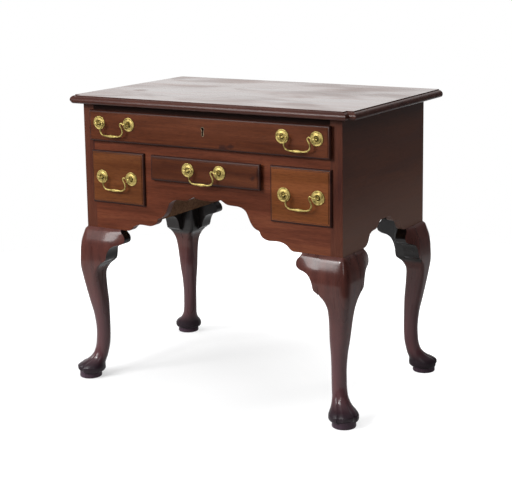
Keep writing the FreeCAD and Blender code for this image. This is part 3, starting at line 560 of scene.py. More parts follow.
@dataclass(frozen=True)
class TopMahogany(Mahogany):
    """The mahogany of the top, whose polish is worn thin in patches by use.

    Attributes:
        patch: Width of the worn patches, in mm.
        left: Share of the polish that is left in them.
        bend: Reach of the bends in the outline of a stain, in mm.
        stains: Of each stain, its place across and deep, its radius in mm, and its strength.
        core: Share of a stain's radius within which it is at full strength.
        back: Where the polish starts to thin towards the back edge, and where it ends, in mm.
        back_worn: Share of the polish that is gone at the back edge.
        height: Height of the top, in mm.
    """

    patch: float = 130
    left: float = 0.42
    bend: float = 80
    stains: tuple[tuple[float, float, float, float], ...] = ()
    core: float = 0.3
    back: tuple[float, float] = (205, 275)
    back_worn: float = 0.4
    height: float = 754

    def rubbed(self, tree: NodeTree, place: NodeSocket, wood: Node) -> None:
        """Thins the polish in soft patches, in the stains and along the back.

        Args:
            tree: The material's tree.
            place: Object coordinates.
            wood: The wood's shader, whose polish is thinned.
        """
        # The patches are twice as long across the table as deep.
        along = add_node(tree, "ShaderNodeMapping", {"Scale": (0.5, 1, 1)}, {"Vector": place})
        cloud = noise(tree, along.outputs[0], self.patch, 4, 0.6)
        weight = ranged(tree, cloud, (0.4, 0.56), (self.left * self.coat, self.coat), "LINEAR")
        bent = add_node(tree, "ShaderNodeVectorMath",
                        {"operation": "MULTIPLY_ADD", 1: (self.bend * MM, self.bend * MM, 0)},
                        {0: cloud, 2: place}).outputs[0]
        thinned = [ranged(tree, along_axis(tree, place, "Y"), metres(self.back),
                          (0.0, self.back_worn), "LINEAR")]
        # The noise is one half on average, so a bend shifts everything by half its reach.
        shift = self.bend / 2
        for across, deep, radius, strength in self.stains:
            middle = ((across + shift) * MM, (deep + shift) * MM, self.height * MM)
            far = add_node(tree, "ShaderNodeVectorMath", {"operation": "DISTANCE", 1: middle},
                           {0: bent}).outputs["Value"]
            thinned.append(ranged(tree, far, (radius * MM, self.core * radius * MM),
                                  (0.0, strength)))
        for share in thinned:
            kept = add_node(tree, "ShaderNodeMath", {"operation": "SUBTRACT", 0: 1.0},
                            {1: share}).outputs[0]
            weight = add_node(tree, "ShaderNodeMath", {"operation": "MULTIPLY"},
                              {0: weight, 1: kept}).outputs[0]
        tree.links.new(weight, wood.inputs["Coat Weight"])


@dataclass(frozen=True)
class SideMahogany(Mahogany):
    """The mahogany of the sides, painted lighter towards the lower edge: a painted reflection
    of the white floor, which the lower part of a side mirrors.

    Attributes:
        painted_reflection: Colour of the painted reflection of the floor.
        reflection_heights: Heights between which the painted reflection sets in, in mm.
        share: How much of the painted reflection shows at the lower edge.
    """

    painted_reflection: str = "#6E5043"
    reflection_heights: tuple[float, float] = (600, 430)
    share: float = 0.6

    def retoned(self, tree: NodeTree, place: NodeSocket, colour: NodeSocket,
             rough: NodeSocket) -> tuple[NodeSocket, NodeSocket]:
        """Paints the floor's reflection in, stronger towards the lower edge.

        Args:
            tree: The material's tree.
            place: Object coordinates.
            colour: The wood's colour.
            rough: Its roughness.

        Returns:
            Both, changed.
        """
        # Painted reflection of the white floor, stronger towards the lower edge.
        share = ranged(tree, along_axis(tree, place, "Z"), metres(self.reflection_heights),
                       (0.0, self.share))
        return tinted(tree, colour, self.painted_reflection, share), rough


@dataclass(frozen=True)
class FiguredMahogany(Mahogany):
    """Mahogany cut near a branch, with dark flecks where the grain swirls.

    Attributes:
        flecks: Of each fleck, its place across and up and half its width and height, in mm.
        fleck: Colour of the flecks.
        strength: How much of that colour shows in their middle.
        core: Share of a fleck within which it is at full strength.
        swirl: How far their outline is bent, as a share of their size.
        swirl_width: Width of the bends, in mm.
    """

    flecks: tuple[tuple[float, float, float, float], ...] = ()
    fleck: str = "#2A120C"
    strength: float = 0.92
    core: float = 0.1
    swirl: float = 1.6
    swirl_width: float = 14

    def retoned(self, tree: NodeTree, place: NodeSocket, colour: NodeSocket,
             rough: NodeSocket) -> tuple[NodeSocket, NodeSocket]:
        """Draws the flecks, with ragged outlines.

        Args:
            tree: The material's tree.
            place: Object coordinates.
            colour: The wood's colour.
            rough: Its roughness.

        Returns:
            Both, changed.
        """
        bends = noise(tree, place, self.swirl_width, 3, output="Color")
        # The noise is one half on average, so half of the swirl is taken back.
        back = self.swirl / 2
        for across, up, wide, tall in self.flecks:
            local = add_node(tree, "ShaderNodeMapping",
                             {"Location": (-across / wide, 0, -up / tall),
                              "Scale": (1 / (wide * MM), 0, 1 / (tall * MM))},
                             {"Vector": place}).outputs[0]
            bent = add_node(tree, "ShaderNodeVectorMath",
                            {"operation": "MULTIPLY_ADD", 1: (self.swirl, 0, self.swirl)},
                            {0: bends, 2: local}).outputs[0]
            centred = add_node(tree, "ShaderNodeVectorMath",
                               {"operation": "SUBTRACT", 1: (back, 0, back)},
                               {0: bent}).outputs[0]
            far = add_node(tree, "ShaderNodeVectorMath", {"operation": "LENGTH"},
                           {0: centred}).outputs["Value"]
            share = ranged(tree, far, (1.0, self.core), (0.0, self.strength))
            colour = tinted(tree, colour, self.fleck, share)
        return colour, rough


@dataclass(frozen=True)
class LegMahogany(Mahogany):
    """The mahogany of the legs.

    The feet are dark and dull, from mops and shoes. The knees are painted nearly black where
    they face the middle of the table, up under the case: painted shade where the case
    shadows them.

    Attributes:
        rubbed_bare: Colour of the ankles.
        scuffed: Colour of the feet.
        painted_shade: Colour of the painted shade on the inner faces of the knees.
        ankle: Heights between which the ankles grey, in mm.
        ankle_share: How grey they get.
        foot: Heights between which the feet darken, in mm.
        foot_dulled: How much rougher the feet are.
        knee: Heights between which the painted shade sets in, in mm.
        inward: Between which readings a face looks inwards enough for the painted shade. A
            reading is the distance from the table's middle along the way that the face looks, in
            mm.
        toes: Heights between which the polish sets in above the toes, in mm.
        toe_polish: Share of the polish that is left on the toes.
    """

    rubbed_bare: str = "#553940"
    scuffed: str = "#22171D"
    painted_shade: str = "#140D0B"
    ankle: tuple[float, float] = (330, 130)
    ankle_share: float = 0.5
    foot: tuple[float, float] = (70, 30)
    foot_dulled: float = 0.08
    knee: tuple[float, float] = (300, 316)
    inward: tuple[float, float] = (20, -40)
    toes: tuple[float, float] = (36, 50)
    toe_polish: float = 0.1

    def retoned(self, tree: NodeTree, place: NodeSocket, colour: NodeSocket,
             rough: NodeSocket) -> tuple[NodeSocket, NodeSocket]:
        """Greys the ankles, dulls and darkens the feet, and paints shade on the knees' inner
        faces.

        Args:
            tree: The material's tree.
            place: Object coordinates.
            colour: The wood's colour.
            rough: Its roughness.

        Returns:
            Both, changed.
        """
        height = along_axis(tree, place, "Z")
        # Painted shade: faces of the knees that look towards the middle of the table, up under
        # the case, are painted nearly black where the case shadows them.
        level = add_node(tree, "ShaderNodeVectorMath",
                         {"operation": "MULTIPLY", 1: Vector((1, 1, 0))}, {0: place}).outputs[0]
        facing = add_node(tree, "ShaderNodeVectorMath", {"operation": "DOT_PRODUCT"},
                          {0: level, 1: add_node(tree, "ShaderNodeTexCoord").outputs["Normal"]}
                          ).outputs["Value"]
        darkening = add_node(tree, "ShaderNodeMath", {"operation": "MULTIPLY"},
                        {0: ranged(tree, facing, metres(self.inward)),
                         1: ranged(tree, height, metres(self.knee))}).outputs[0]
        foot = ranged(tree, height, metres(self.foot))
        ankle = add_node(tree, "ShaderNodeMath", {"operation": "MULTIPLY", 1: self.ankle_share},
                         {0: ranged(tree, height, metres(self.ankle))}).outputs[0]
        for share, tint in ((ankle, self.rubbed_bare), (foot, self.scuffed), (darkening, self.painted_shade)):
            colour = tinted(tree, colour, tint, share)
        rough = add_node(tree, "ShaderNodeMath",
                         {"operation": "MULTIPLY_ADD", 1: self.foot_dulled},
                         {0: foot, 2: rough}).outputs[0]
        return colour, rough

    def rubbed(self, tree: NodeTree, place: NodeSocket, wood: Node) -> None:
        """Leaves hardly any polish on the toes.

        Args:
            tree: The material's tree.
            place: Object coordinates.
            wood: The wood's shader, whose polish is thinned.
        """
        weight = ranged(tree, along_axis(tree, place, "Z"), metres(self.toes),
                        (self.toe_polish * self.coat, self.coat), "LINEAR")
        tree.links.new(weight, wood.inputs["Coat Weight"])


@dataclass(frozen=True)
class BareWood(Finish):
    """Unpolished softwood of drawer linings and backs, dulled by age and handling.

    Pale brown boards with soft darker bands of late wood and a dusty, matt face.

    Attributes:
        grain: The way that the grain runs.
        early: Colour between the bands.
        late: Colour of the bands.
        grime: What darkens the wood where it is dirty.
    """

    grain: Grain
    early: str = "#A98D66"
    late: str = "#7A5F40"
    grime: str = "#B4A898"

    def shade(self, tree: NodeTree) -> NodeSocket:
        """Builds the growth bands and grime.

        Args:
            tree: The material's tree.

        Returns:
            The shader's output.
        """
        place = add_node(tree, "ShaderNodeTexCoord").outputs["Object"]
        # Growth bands about 4 mm apart, and grime in patches 150 mm wide.
        along = add_node(tree, "ShaderNodeMapping", {"Scale": self.grain.squeezed(0.012)},
                         {"Vector": place}).outputs["Vector"]
        bands = noise(tree, along, 4, 2, 0.2)
        patches = noise(tree, place, 150, 3)
        wood = add_node(tree, "ShaderNodeValToRGB",
                        {"stops": [(NOISE_LOW, linear(self.late)), (0.66, linear(self.early))]},
                        {"Fac": bands}).outputs["Color"]
        darkening = add_node(tree, "ShaderNodeValToRGB",
                        {"stops": [(NOISE_LOW, linear(self.grime)), (0.65, linear("#FFFFFF"))]},
                        {"Fac": patches}).outputs["Color"]
        colour = add_node(tree, "ShaderNodeMix",
                          {"data_type": "RGBA", "blend_type": "MULTIPLY", 0: 0.8},
                          {6: wood, 7: darkening}).outputs[2]
        relief = add_node(tree, "ShaderNodeBump", {"Strength": 0.3, "Distance": 0.2 * MM},
                          {"Height": bands})
        return add_node(tree, "ShaderNodeBsdfPrincipled",
                        {"Roughness": 0.75, "IOR": 1.45, "Specular IOR Level": 0.3},
                        {"Base Color": colour, "Normal": relief.outputs["Normal"]}
                        ).outputs["BSDF"]


@dataclass(frozen=True)
class Metal(Finish):
    """Worn metal: bright where it is rubbed and dark where polish and dirt stay.

    Attributes:
        bright: Colour of the rubbed metal.
        dull: Colour of the tarnish.
        roughness: Roughness of the rubbed metal.
        patch: Width of the patches of tarnish, in mm.
        tarnish: How much of the metal is dull, from 0 to 1.
        dulled: How much rougher the tarnish is.
    """

    bright: str
    dull: str
    roughness: float
    patch: float = 6.0
    tarnish: float = 0.4
    dulled: float = 0.12

    def shade(self, tree: NodeTree) -> NodeSocket:
        """Builds the patches and the fine scratches.

        Args:
            tree: The material's tree.

        Returns:
            The shader's output.
        """
        place = add_node(tree, "ShaderNodeTexCoord").outputs["Object"]
        patches = noise(tree, place, self.patch, 4)
        # Rubbing marks 0.6 mm wide, coarser than real ones so that they show.
        marks = noise(tree, place, 0.6, 2)
        # Tarnish moves the border between dull and bright up through the noise's values.
        start = 0.25 + 0.3 * self.tarnish
        colour = add_node(tree, "ShaderNodeValToRGB",
                          {"stops": [(start, linear(self.dull)),
                                     (start + 0.2, linear(self.bright))]},
                          {"Fac": patches}).outputs["Color"]
        rough = ranged(tree, patches, (NOISE_LOW, NOISE_HIGH),
                       (self.roughness + self.dulled, self.roughness), "LINEAR")
        relief = add_node(tree, "ShaderNodeBump", {"Strength": 0.2, "Distance": 0.05 * MM},
                          {"Height": marks})
        return add_node(tree, "ShaderNodeBsdfPrincipled", {"Metallic": 1.0},
                        {"Base Color": colour, "Roughness": rough,
                         "Normal": relief.outputs["Normal"]}).outputs["BSDF"]


FRONTS = Mahogany("mahogany_front_rails", Grain.ACROSS, "#3F1D10", "#582B1A", "#683721")
TOP_FRONT = FiguredMahogany("mahogany_top_drawer", Grain.ACROSS, "#37170A", "#4B2411", "#5B2E18",
                            flecks=((58, 648, 26, 10), (78, 652, 15, 8)))
MIDDLE_FRONT = FiguredMahogany("mahogany_middle_drawer", Grain.ACROSS, "#36180D", "#482311",
                               "#572D18", flecks=((140, 578, 12, 10), (156, 592, 12, 9)))
LEFT_FRONT = Mahogany("mahogany_left_drawer", Grain.ACROSS, "#46230F", "#583016", "#673A1B")
RIGHT_FRONT = Mahogany("mahogany_right_drawer", Grain.ACROSS, "#573014", "#67381A", "#734020")
# Darker than the fronts: partly the lips' own darker tone, partly painted shade of the gaps
# round the drawers.
LIPS = Mahogany("mahogany_drawer_lips", Grain.ACROSS, "#220F0A", "#2E150F", "#3A1E16",
                roughness=0.45, coat=0.05, coat_roughness=0.2, sheen_level=0.16)
# Nearly black: painted shadow of the top's overhang on the rail under it.
TOP_RAIL_PAINTED_SHADOW = Mahogany("mahogany_top_rail_painted_shadow", Grain.ACROSS, "#170B08", "#20100B", "#2A160E",
                    coat=0.0, sheen_level=0.08)
STILES = Mahogany("mahogany_stiles", Grain.UPRIGHT, "#381B16", "#4B2619", "#562F21",
                  roughness=0.36, coat=0.0)
SIDES = SideMahogany("mahogany_side_boards", Grain.DEEP, "#3E1E14", "#492719", "#542F1F",
                     roughness=0.42, coat=0.0, sheen_level=0.3)
TOP = TopMahogany("mahogany_top_board", Grain.ACROSS, "#43261A", "#543122", "#653D2A",
                  roughness=0.3, coat=0.93, coat_roughness=0.2, sheen_level=0.22,
                  stains=((-287, -70, 32, 0.7), (195, 85, 105, 0.45), (225, 150, 70, 0.35),
                          (-390, -160, 150, 0.35)))
TOP_EDGE = Mahogany("mahogany_top_moulding", Grain.ACROSS, "#2C1510", "#3B1F18", "#482920",
                    roughness=0.3, coat=0.08, coat_roughness=0.12, sheen_level=0.16)
LEGS = LegMahogany("mahogany_legs", Grain.UPRIGHT, "#341915", "#4A2620", "#582F26",
                   roughness=0.3, coat=0.35, coat_roughness=0.1, sheen_level=0.22)
DISCS = Mahogany("mahogany_discs", Grain.UPRIGHT, "#35272F", "#3F2F39", "#483743",
                 roughness=0.45, coat=0.0)
LINING = BareWood("softwood_linings", Grain.DEEP)
BACKING = BareWood("softwood_backs", Grain.ACROSS, "#8E6B50", "#6E4F39")
BRASS = Metal("worn_brass", "#BCA968", "#7A6A3C", 0.5, patch=9, tarnish=0.3)
DARKER_BRASS = Metal("brass_in_the_hollows", "#6B5E38", "#2B2314", 0.6, patch=3, tarnish=0.7)
LINER = Metal("dull_brass_liner", "#94826A", "#5E5044", 0.45, patch=4, tarnish=0.5)
IRON = Metal("filed_iron", "#5A5652", "#3A3431", 0.5, patch=5, tarnish=0.5)


@dataclass(frozen=True)
class StudioFloor(Finish):
    """White studio paper, which keeps a soft shadow.

    Attributes:
        glow: White added under the table for what sees the floor directly.
        mirrored: White added in front for what sees the floor mirrored.
        centre: Middle of the part that keeps shadows, in metres.
        shaded: How far from there the floor keeps shadows, in metres.
        blank: How far from there it is plain white, in metres.
        ahead: Depths between which the mirrored white sets in, in metres.
        paper: Colour of the paper under the lamps.
    """

    glow: float = 0.52
    mirrored: float = 0.4
    centre: tuple[float, float, float] = (-0.25, -0.35, 0.0)
    shaded: float = 0.35
    blank: float = 1.15
    ahead: tuple[float, float] = (0.3, -0.4)
    paper: str = "#A8A8A8"

    def shade(self, tree: NodeTree) -> NodeSocket:
        """Builds the matt paper and its white for direct and mirrored sight.

        Args:
            tree: The material's tree.

        Returns:
            The shader's output.
        """
        paper = add_node(tree, "ShaderNodeBsdfDiffuse", {"Color": linear(self.paper)})
        place = add_node(tree, "ShaderNodeTexCoord").outputs["Object"]
        far = add_node(tree, "ShaderNodeVectorMath", {"operation": "DISTANCE", 1: self.centre},
                       {0: place}).outputs["Value"]
        glow = ranged(tree, far, (self.shaded, self.blank), (self.glow, 1.0))
        ahead = ranged(tree, along_axis(tree, place, "Y"), self.ahead, (0.0, self.mirrored))
        reflected = add_node(tree, "ShaderNodeMath", {"operation": "MULTIPLY"},
                             {0: seen_mirrored(tree), 1: ahead}).outputs[0]
        direct = add_node(tree, "ShaderNodeLightPath").outputs["Is Camera Ray"]
        light = add_node(tree, "ShaderNodeMath", {"operation": "MULTIPLY_ADD"},
                         {0: direct, 1: glow, 2: reflected}).outputs[0]
        white = add_node(tree, "ShaderNodeEmission", {"Color": (1, 1, 1, 1)},
                         {"Strength": light})
        return add_node(tree, "ShaderNodeAddShader",
                        links={0: paper.outputs[0], 1: white.outputs[0]}).outputs[0]


# ---------------------------------------------------------------- case

# The corner posts, and how far their inner faces lie from the middle planes of the table.
POST_WIDTH, POST_DEPTH = 32 * MM, 44 * MM
POST_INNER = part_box("right_side")[1].x - POST_WIDTH
POST_BACK = -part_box("front_apron")[0].y - POST_DEPTH


@dataclass
class Case:
    """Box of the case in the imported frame, in metres.

    Attributes:
        half_width: From the middle to the outer face of a side.
        half_depth: From the middle to the front.
        bottom: Height of the case's lower edge.
        top: Height under the top board.
    """

    half_width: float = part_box("right_side")[1].x
    half_depth: float = -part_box("front_apron")[0].y
    bottom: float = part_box("front_apron")[0].z
    top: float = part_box("top_board")[0].z


def against_post(edge: BMEdge) -> bool:
    """Says whether an arris of a board lies along a post, where the joint is tight.

    Args:
        edge: The arris.

    Returns:
        Whether it lies beside a post's inner face.
    """
    first, second = (vert.co for vert in edge.verts)
    return any(abs(first[axis] - second[axis]) < FLUSH
               and abs(abs(first[axis]) - place) < BESIDE
               for axis, place in ((0, POST_INNER), (1, POST_BACK)))


@dataclass
class Board:
    """A board that keeps the shape of its solid and has its arrises worn.

    Attributes:
        node: The solid's name.
        finish: What it is finished with.
        wear: Width of its worn arrises, in mm.
        body: The body that it rides on.
        edge: The finish of its edges, if it is another.
        way: Where its main face looks.
        straight: Least cosine between that way and a face that counts as the main one.
    """

    node: str
    finish: Finish
    wear: float = 0.3
    body: str = "case"
    edge: Finish | None = None
    way: tuple[float, float, float] = (0, 0, 1)
    straight: float = 0.99

    def build(self) -> None:
        """Makes the worn copy and lets it stand for the solid."""
        bm = solid_copy(self.node)
        soften(bm, self.wear, spared=against_post)
        for face in bm.faces:
            main = face.normal.dot(Vector(self.way)) > self.straight
            face.material_index = 0 if main or not self.edge else 1
        piece = finished(f"{self.node}_worn", bm)
        for finish in (self.finish, self.edge):
            if finish:
                piece.data.materials.append(finish.make())
        place_piece(piece, self.body, [self.node])


@dataclass
class CaseWork:
    """The boards of the case and its top.

    Attributes:
        boards: Boards that are seen, with their arrises worn.
        bare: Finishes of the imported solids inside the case, which stay as they are.
    """

    boards: list[Board] = field(default_factory=lambda: [
        Board("top_board", TOP, 0.4, edge=TOP_EDGE),
        Board("front_apron", FRONTS, 0.35),
        Board("drawer_rail", FRONTS, 0.15),
        Board("top_rail", TOP_RAIL_PAINTED_SHADOW, 0.15),
        Board("drawer_dividers", FRONTS, 0.15),
        Board("right_side", SIDES, 0.15),
        Board("left_side", SIDES, 0.15),
        Board("back_board", BACKING, 0.4),
    ])
    bare: dict[str, Finish] = field(default_factory=lambda: {
        "right_partition": BACKING, "left_partition": BACKING, "drawer_runners": LINING,
        "glue_blocks": BACKING})

    def build(self) -> None:
        """Makes the worn boards and dresses the bare pieces."""
        for board in self.boards:
            board.build()
        for node, finish in self.bare.items():
            dress(node, finish)


def dress(node: str, finish: Finish) -> None:
    """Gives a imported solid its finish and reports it.

    Args:
        node: The solid's name.
        finish: What it is finished with.
    """
    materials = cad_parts[node].data.materials
    materials.clear()
    materials.append(finish.make())
    LOG.info("%s: dressed in %s", node, finish.name)


# ---------------------------------------------------------------- legs

# Stations down the cabriole leg, in mm: height, how far the outer faces lie out from the
# case, the side of the square, the radii of its outer arris, of the two beside it and of
# the inner one, and how deep the grooves between the toes are.
LEG_STATIONS = (
    (13, 33.0, 56.8, 28.1, 28.1, 28.1, 2.2),
    (17, 38.6, 70.8, 35.1, 35.1, 35.1, 3.2),
    (22, 39.6, 73.9, 36.7, 36.7, 36.7, 3.6),
    (27, 39.4, 73.6, 36.5, 36.5, 36.5, 3.8),
    (35, 34.0, 67.0, 33.2, 33.2, 33.2, 3.8),
    (44, 20.0, 53.2, 26.3, 26.3, 26.3, 3.3),
    (54, 9.2, 43.8, 21.6, 21.6, 21.6, 2.2),
    (68, 1.6, 38.0, 18.7, 18.7, 18.7, 0.9),
    (92, -2.7, 36.6, 18, 18, 18, 0),
    (123, -3.8, 36.6, 18, 18, 18, 0),
    (164, -1.2, 38.8, 17, 17, 17, 0),
    (204, 5.5, 44.8, 16.5, 16.5, 16.5, 0),
    (245, 12.3, 49.1, 16, 16, 16, 0),
    (282, 17.7, 53.4, 15, 11, 15, 0),
    (304, 20.7, 63.0, 16, 6, 11, 0),
    (321, 21.5, 76.5, 18, 1.5, 8, 0),
    (344, 21.3, 77.3, 20, 0.05, 6, 0),
    (371, 18.7, 74.7, 20, 0.05, 6, 0),
    (393, 11.8, 67.8, 14, 0.05, 6, 0),
    (404, 6.8, 62.8, 8, 0.05, 6, 0),
    (409, 1.0, 57, 3, 0.05, 6, 0),
)

# Of each corner, 1 for the right or -1 for the left, and 1 for the rear or -1 for the front.
CORNERS = {"front_right": (1, -1), "front_left": (-1, -1),
           "rear_right": (1, 1), "rear_left": (-1, 1)}

# The finishes of a leg: the leg itself, the post's front and side, and the disc.
LEG_FINISHES = (LEGS, STILES, SIDES, DISCS)


@dataclass
class Leg:
    """A cabriole leg with its post, trifid foot and disc, made for the front right corner.

    Attributes:
        case: The case that it carries.
        disc_radius: Radius of the disc under the foot, in mm.
        disc_taper: How much narrower the disc is at its top, in mm.
        disc_rim: Rounding of its lower rim, in mm.
        disc_sides: Facets round it.
        post_wear: Width of the post's worn outer arris, in mm.
        groove_place: Angle of the toe grooves from the middle toe, in degrees.
        groove_reach: Half the width of a groove, in degrees.
        arch: How far the sole is arched up under the middle toe, in mm.
        arch_width: Half the width of that arch, in degrees.
        arch_reach: Height over which the arch fades out, in mm.
        crown: How much wider than a plain round the outer arris starts to turn.
        outer_chords: Facets round the outer arris.
        chords: Facets round each other arris.
        flats: Facets across each flat between arrises.
        ring_gap: Height between the rings of facets, in mm.
        foot_gap: The same in the foot.
        foot_top: Height up to which the foot reaches, in mm.
    """

    case: Case
    disc_radius: float = 29.5
    disc_taper: float = 1.0
    disc_rim: float = 3.0
    disc_sides: int = 64
    post_wear: float = 0.3
    groove_place: float = 34.0
    groove_reach: float = 15.0
    arch: float = 7.0
    arch_width: float = 40.0
    arch_reach: float = 22.0
    crown: float = 1.5
    outer_chords: int = 44
    chords: int = 8
    flats: int = 3
    ring_gap: float = 5.0
    foot_gap: float = 1.6
    foot_top: float = 92

    def lift(self, height: float, angle: float) -> float:
        """Finds how far the sole is arched up.

        Args:
            height: A height on the leg, in mm.
            angle: An angle from the middle toe, in degrees.

        Returns:
            The rise, in mm.
        """
        if abs(angle) >= self.arch_width:
            return 0.0
        fade = max(0.0, 1 - (height - LEG_STATIONS[0][0]) / self.arch_reach)
        return self.arch * fade * math.cos(angle / self.arch_width * math.pi / 2)

    def crowned(self, radius: float, side: float) -> tuple[float, float]:
        """Finds a curve for the outer arris that leaves the flats gradually.

        Args:
            radius: Radius of the plain round that it stands for, in mm.
            side: Side of the square, in mm.

        Returns:
            How far from the corner it starts, in mm, and the power of the curve.
        """
        reach = max(radius, min(self.crown * radius, side / 2))
        return reach, -1 / math.log2(1 - (1 - math.sqrt(0.5)) * radius / reach)

    def section(self, height: float) -> list[Vector]:
        """Cuts the leg at a height.

        Args:
            height: The height, in mm.

        Returns:
            Corners of the outline, once round from the start of the outer arris.
        """
        outset, side, outer, beside, inner, groove = eased(LEG_STATIONS, height)
        x_high = self.case.half_width + outset * MM
        y_low = -self.case.half_depth - outset * MM
        x_low, y_high = x_high - side * MM, y_low + side * MM
        z = height * MM
        points = []
        for turn, (x, y, radius) in enumerate((
                (x_high, y_low, outer), (x_high, y_high, beside),
                (x_low, y_high, inner), (x_low, y_low, beside))):
            reach, power = (radius, 2.0) if turn else self.crowned(radius, side)
            quarter = Matrix.Rotation(math.radians(90 * turn), 3, "Z")
            centre = Vector((x, y, z)) + quarter @ Vector((-1, 1, 0)) * reach * MM
            chords = self.chords if turn else self.outer_chords
            for index in range(chords + 1):
                angle = 90 * (index / chords - 0.5)
                off = (abs(angle) - self.groove_place) / self.groove_reach
                sunk = groove * math.cos(off * math.pi / 2) if abs(off) < 1 and not turn else 0
                way = math.radians(angle + 45)
                out = quarter @ Vector((math.sin(way) ** (2 / power),
                                        -abs(math.cos(way)) ** (2 / power), 0)) * (reach - sunk)
                out.z = 0 if turn else self.lift(height, angle)
                points.append(centre + out * MM)
        return self.with_flats(points)

    def with_flats(self, points: list[Vector]) -> list[Vector]:
        """Adds corners across the flats between the arrises.

        Args:
            points: Corners of the four arrises, the outer one first.

        Returns:
            The whole outline.
        """
        ends = [self.outer_chords]
        for _ in range(3):
            ends.append(ends[-1] + self.chords + 1)
        outline = []
        for index, point in enumerate(points):
            outline.append(point)
            if index in ends:
                after = points[(index + 1) % len(points)]
                outline += [point.lerp(after, step / self.flats)
                            for step in range(1, self.flats)]
        return outline

    def heights(self) -> list[float]:
        """Spaces the rings of facets, closer in the foot.

        Returns:
            Heights of the rings from the sole to the case, in mm.
        """
        low, foot, high = LEG_STATIONS[0][0], self.foot_top, LEG_STATIONS[-1][0]
        return (steps(low, foot, round((foot - low) / self.foot_gap))
                + steps(foot, high, round((high - foot) / self.ring_gap)) + [high])

    def shape(self) -> BMesh:
        """Makes the whole leg of the front right corner.

        Returns:
            The leg with its disc and post.
        """
        rings = [self.section(height) for height in self.heights()]
        around = len(rings[0])
        cabriole = tidied(patch(around, len(rings) - 1,
                                lambda column, row: rings[row][column % around]))
        return joined([cabriole, self.disc(), self.post()])

    def disc(self) -> BMesh:
        """Makes the disc under the foot, which reaches up into the arch of the sole.

        Returns:
            The disc, with its lower rim rounded.
        """
        height, outset, side = LEG_STATIONS[0][:3]
        out = (outset - side / 2) * MM
        tall = (height + self.arch) * MM
        bm = bmesh.new()
        bmesh.ops.create_cone(bm, cap_ends=True, segments=self.disc_sides,
                              radius1=self.disc_radius * MM,
                              radius2=(self.disc_radius - self.disc_taper) * MM, depth=tall)
        bmesh.ops.translate(bm, verts=bm.verts[:], vec=Vector((
            self.case.half_width + out, -self.case.half_depth - out, tall / 2)))
        top = max(vert.co.z for vert in bm.verts)
        soften(bm, self.disc_rim, segments=4,
               spared=lambda edge: all(vert.co.z > top - MM for vert in edge.verts))
        for face in bm.faces:
            face.material_index = LEG_FINISHES.index(DISCS)
        return bm

    def post(self) -> BMesh:
        """Makes the square post that the leg runs up into, in the corner of the case.

        Returns:
            The post, with its outer arris worn.
        """
        width, depth = POST_WIDTH, POST_DEPTH
        tall = self.case.top - self.case.bottom
        bm = bmesh.new()
        bmesh.ops.create_cube(bm, size=1.0)
        bmesh.ops.scale(bm, vec=Vector((width, depth, tall)), verts=bm.verts[:])
        bmesh.ops.translate(bm, verts=bm.verts[:], vec=Vector((
            self.case.half_width - width / 2, -self.case.half_depth + depth / 2,
            self.case.bottom + tall / 2)))
        outer = (self.case.half_width, -self.case.half_depth)
        soften(bm, self.post_wear, spared=lambda edge: any(
            abs(vert.co[axis] - outer[axis]) > FLUSH
            for vert in edge.verts for axis in (0, 1)))
        for face in bm.faces:
            sideways = abs(face.normal.x) >= 0.5
            face.material_index = LEG_FINISHES.index(SIDES if sideways else STILES)
        return bm

    def build(self) -> None:
        """Makes the four legs."""
        for corner, (right, rear) in CORNERS.items():
            piece = finished(f"{corner}_cabriole", flipped(self.shape(), right, rear))
            for finish in LEG_FINISHES:
                piece.data.materials.append(finish.make())
            place_piece(piece, "case", [f"{corner}_leg"])


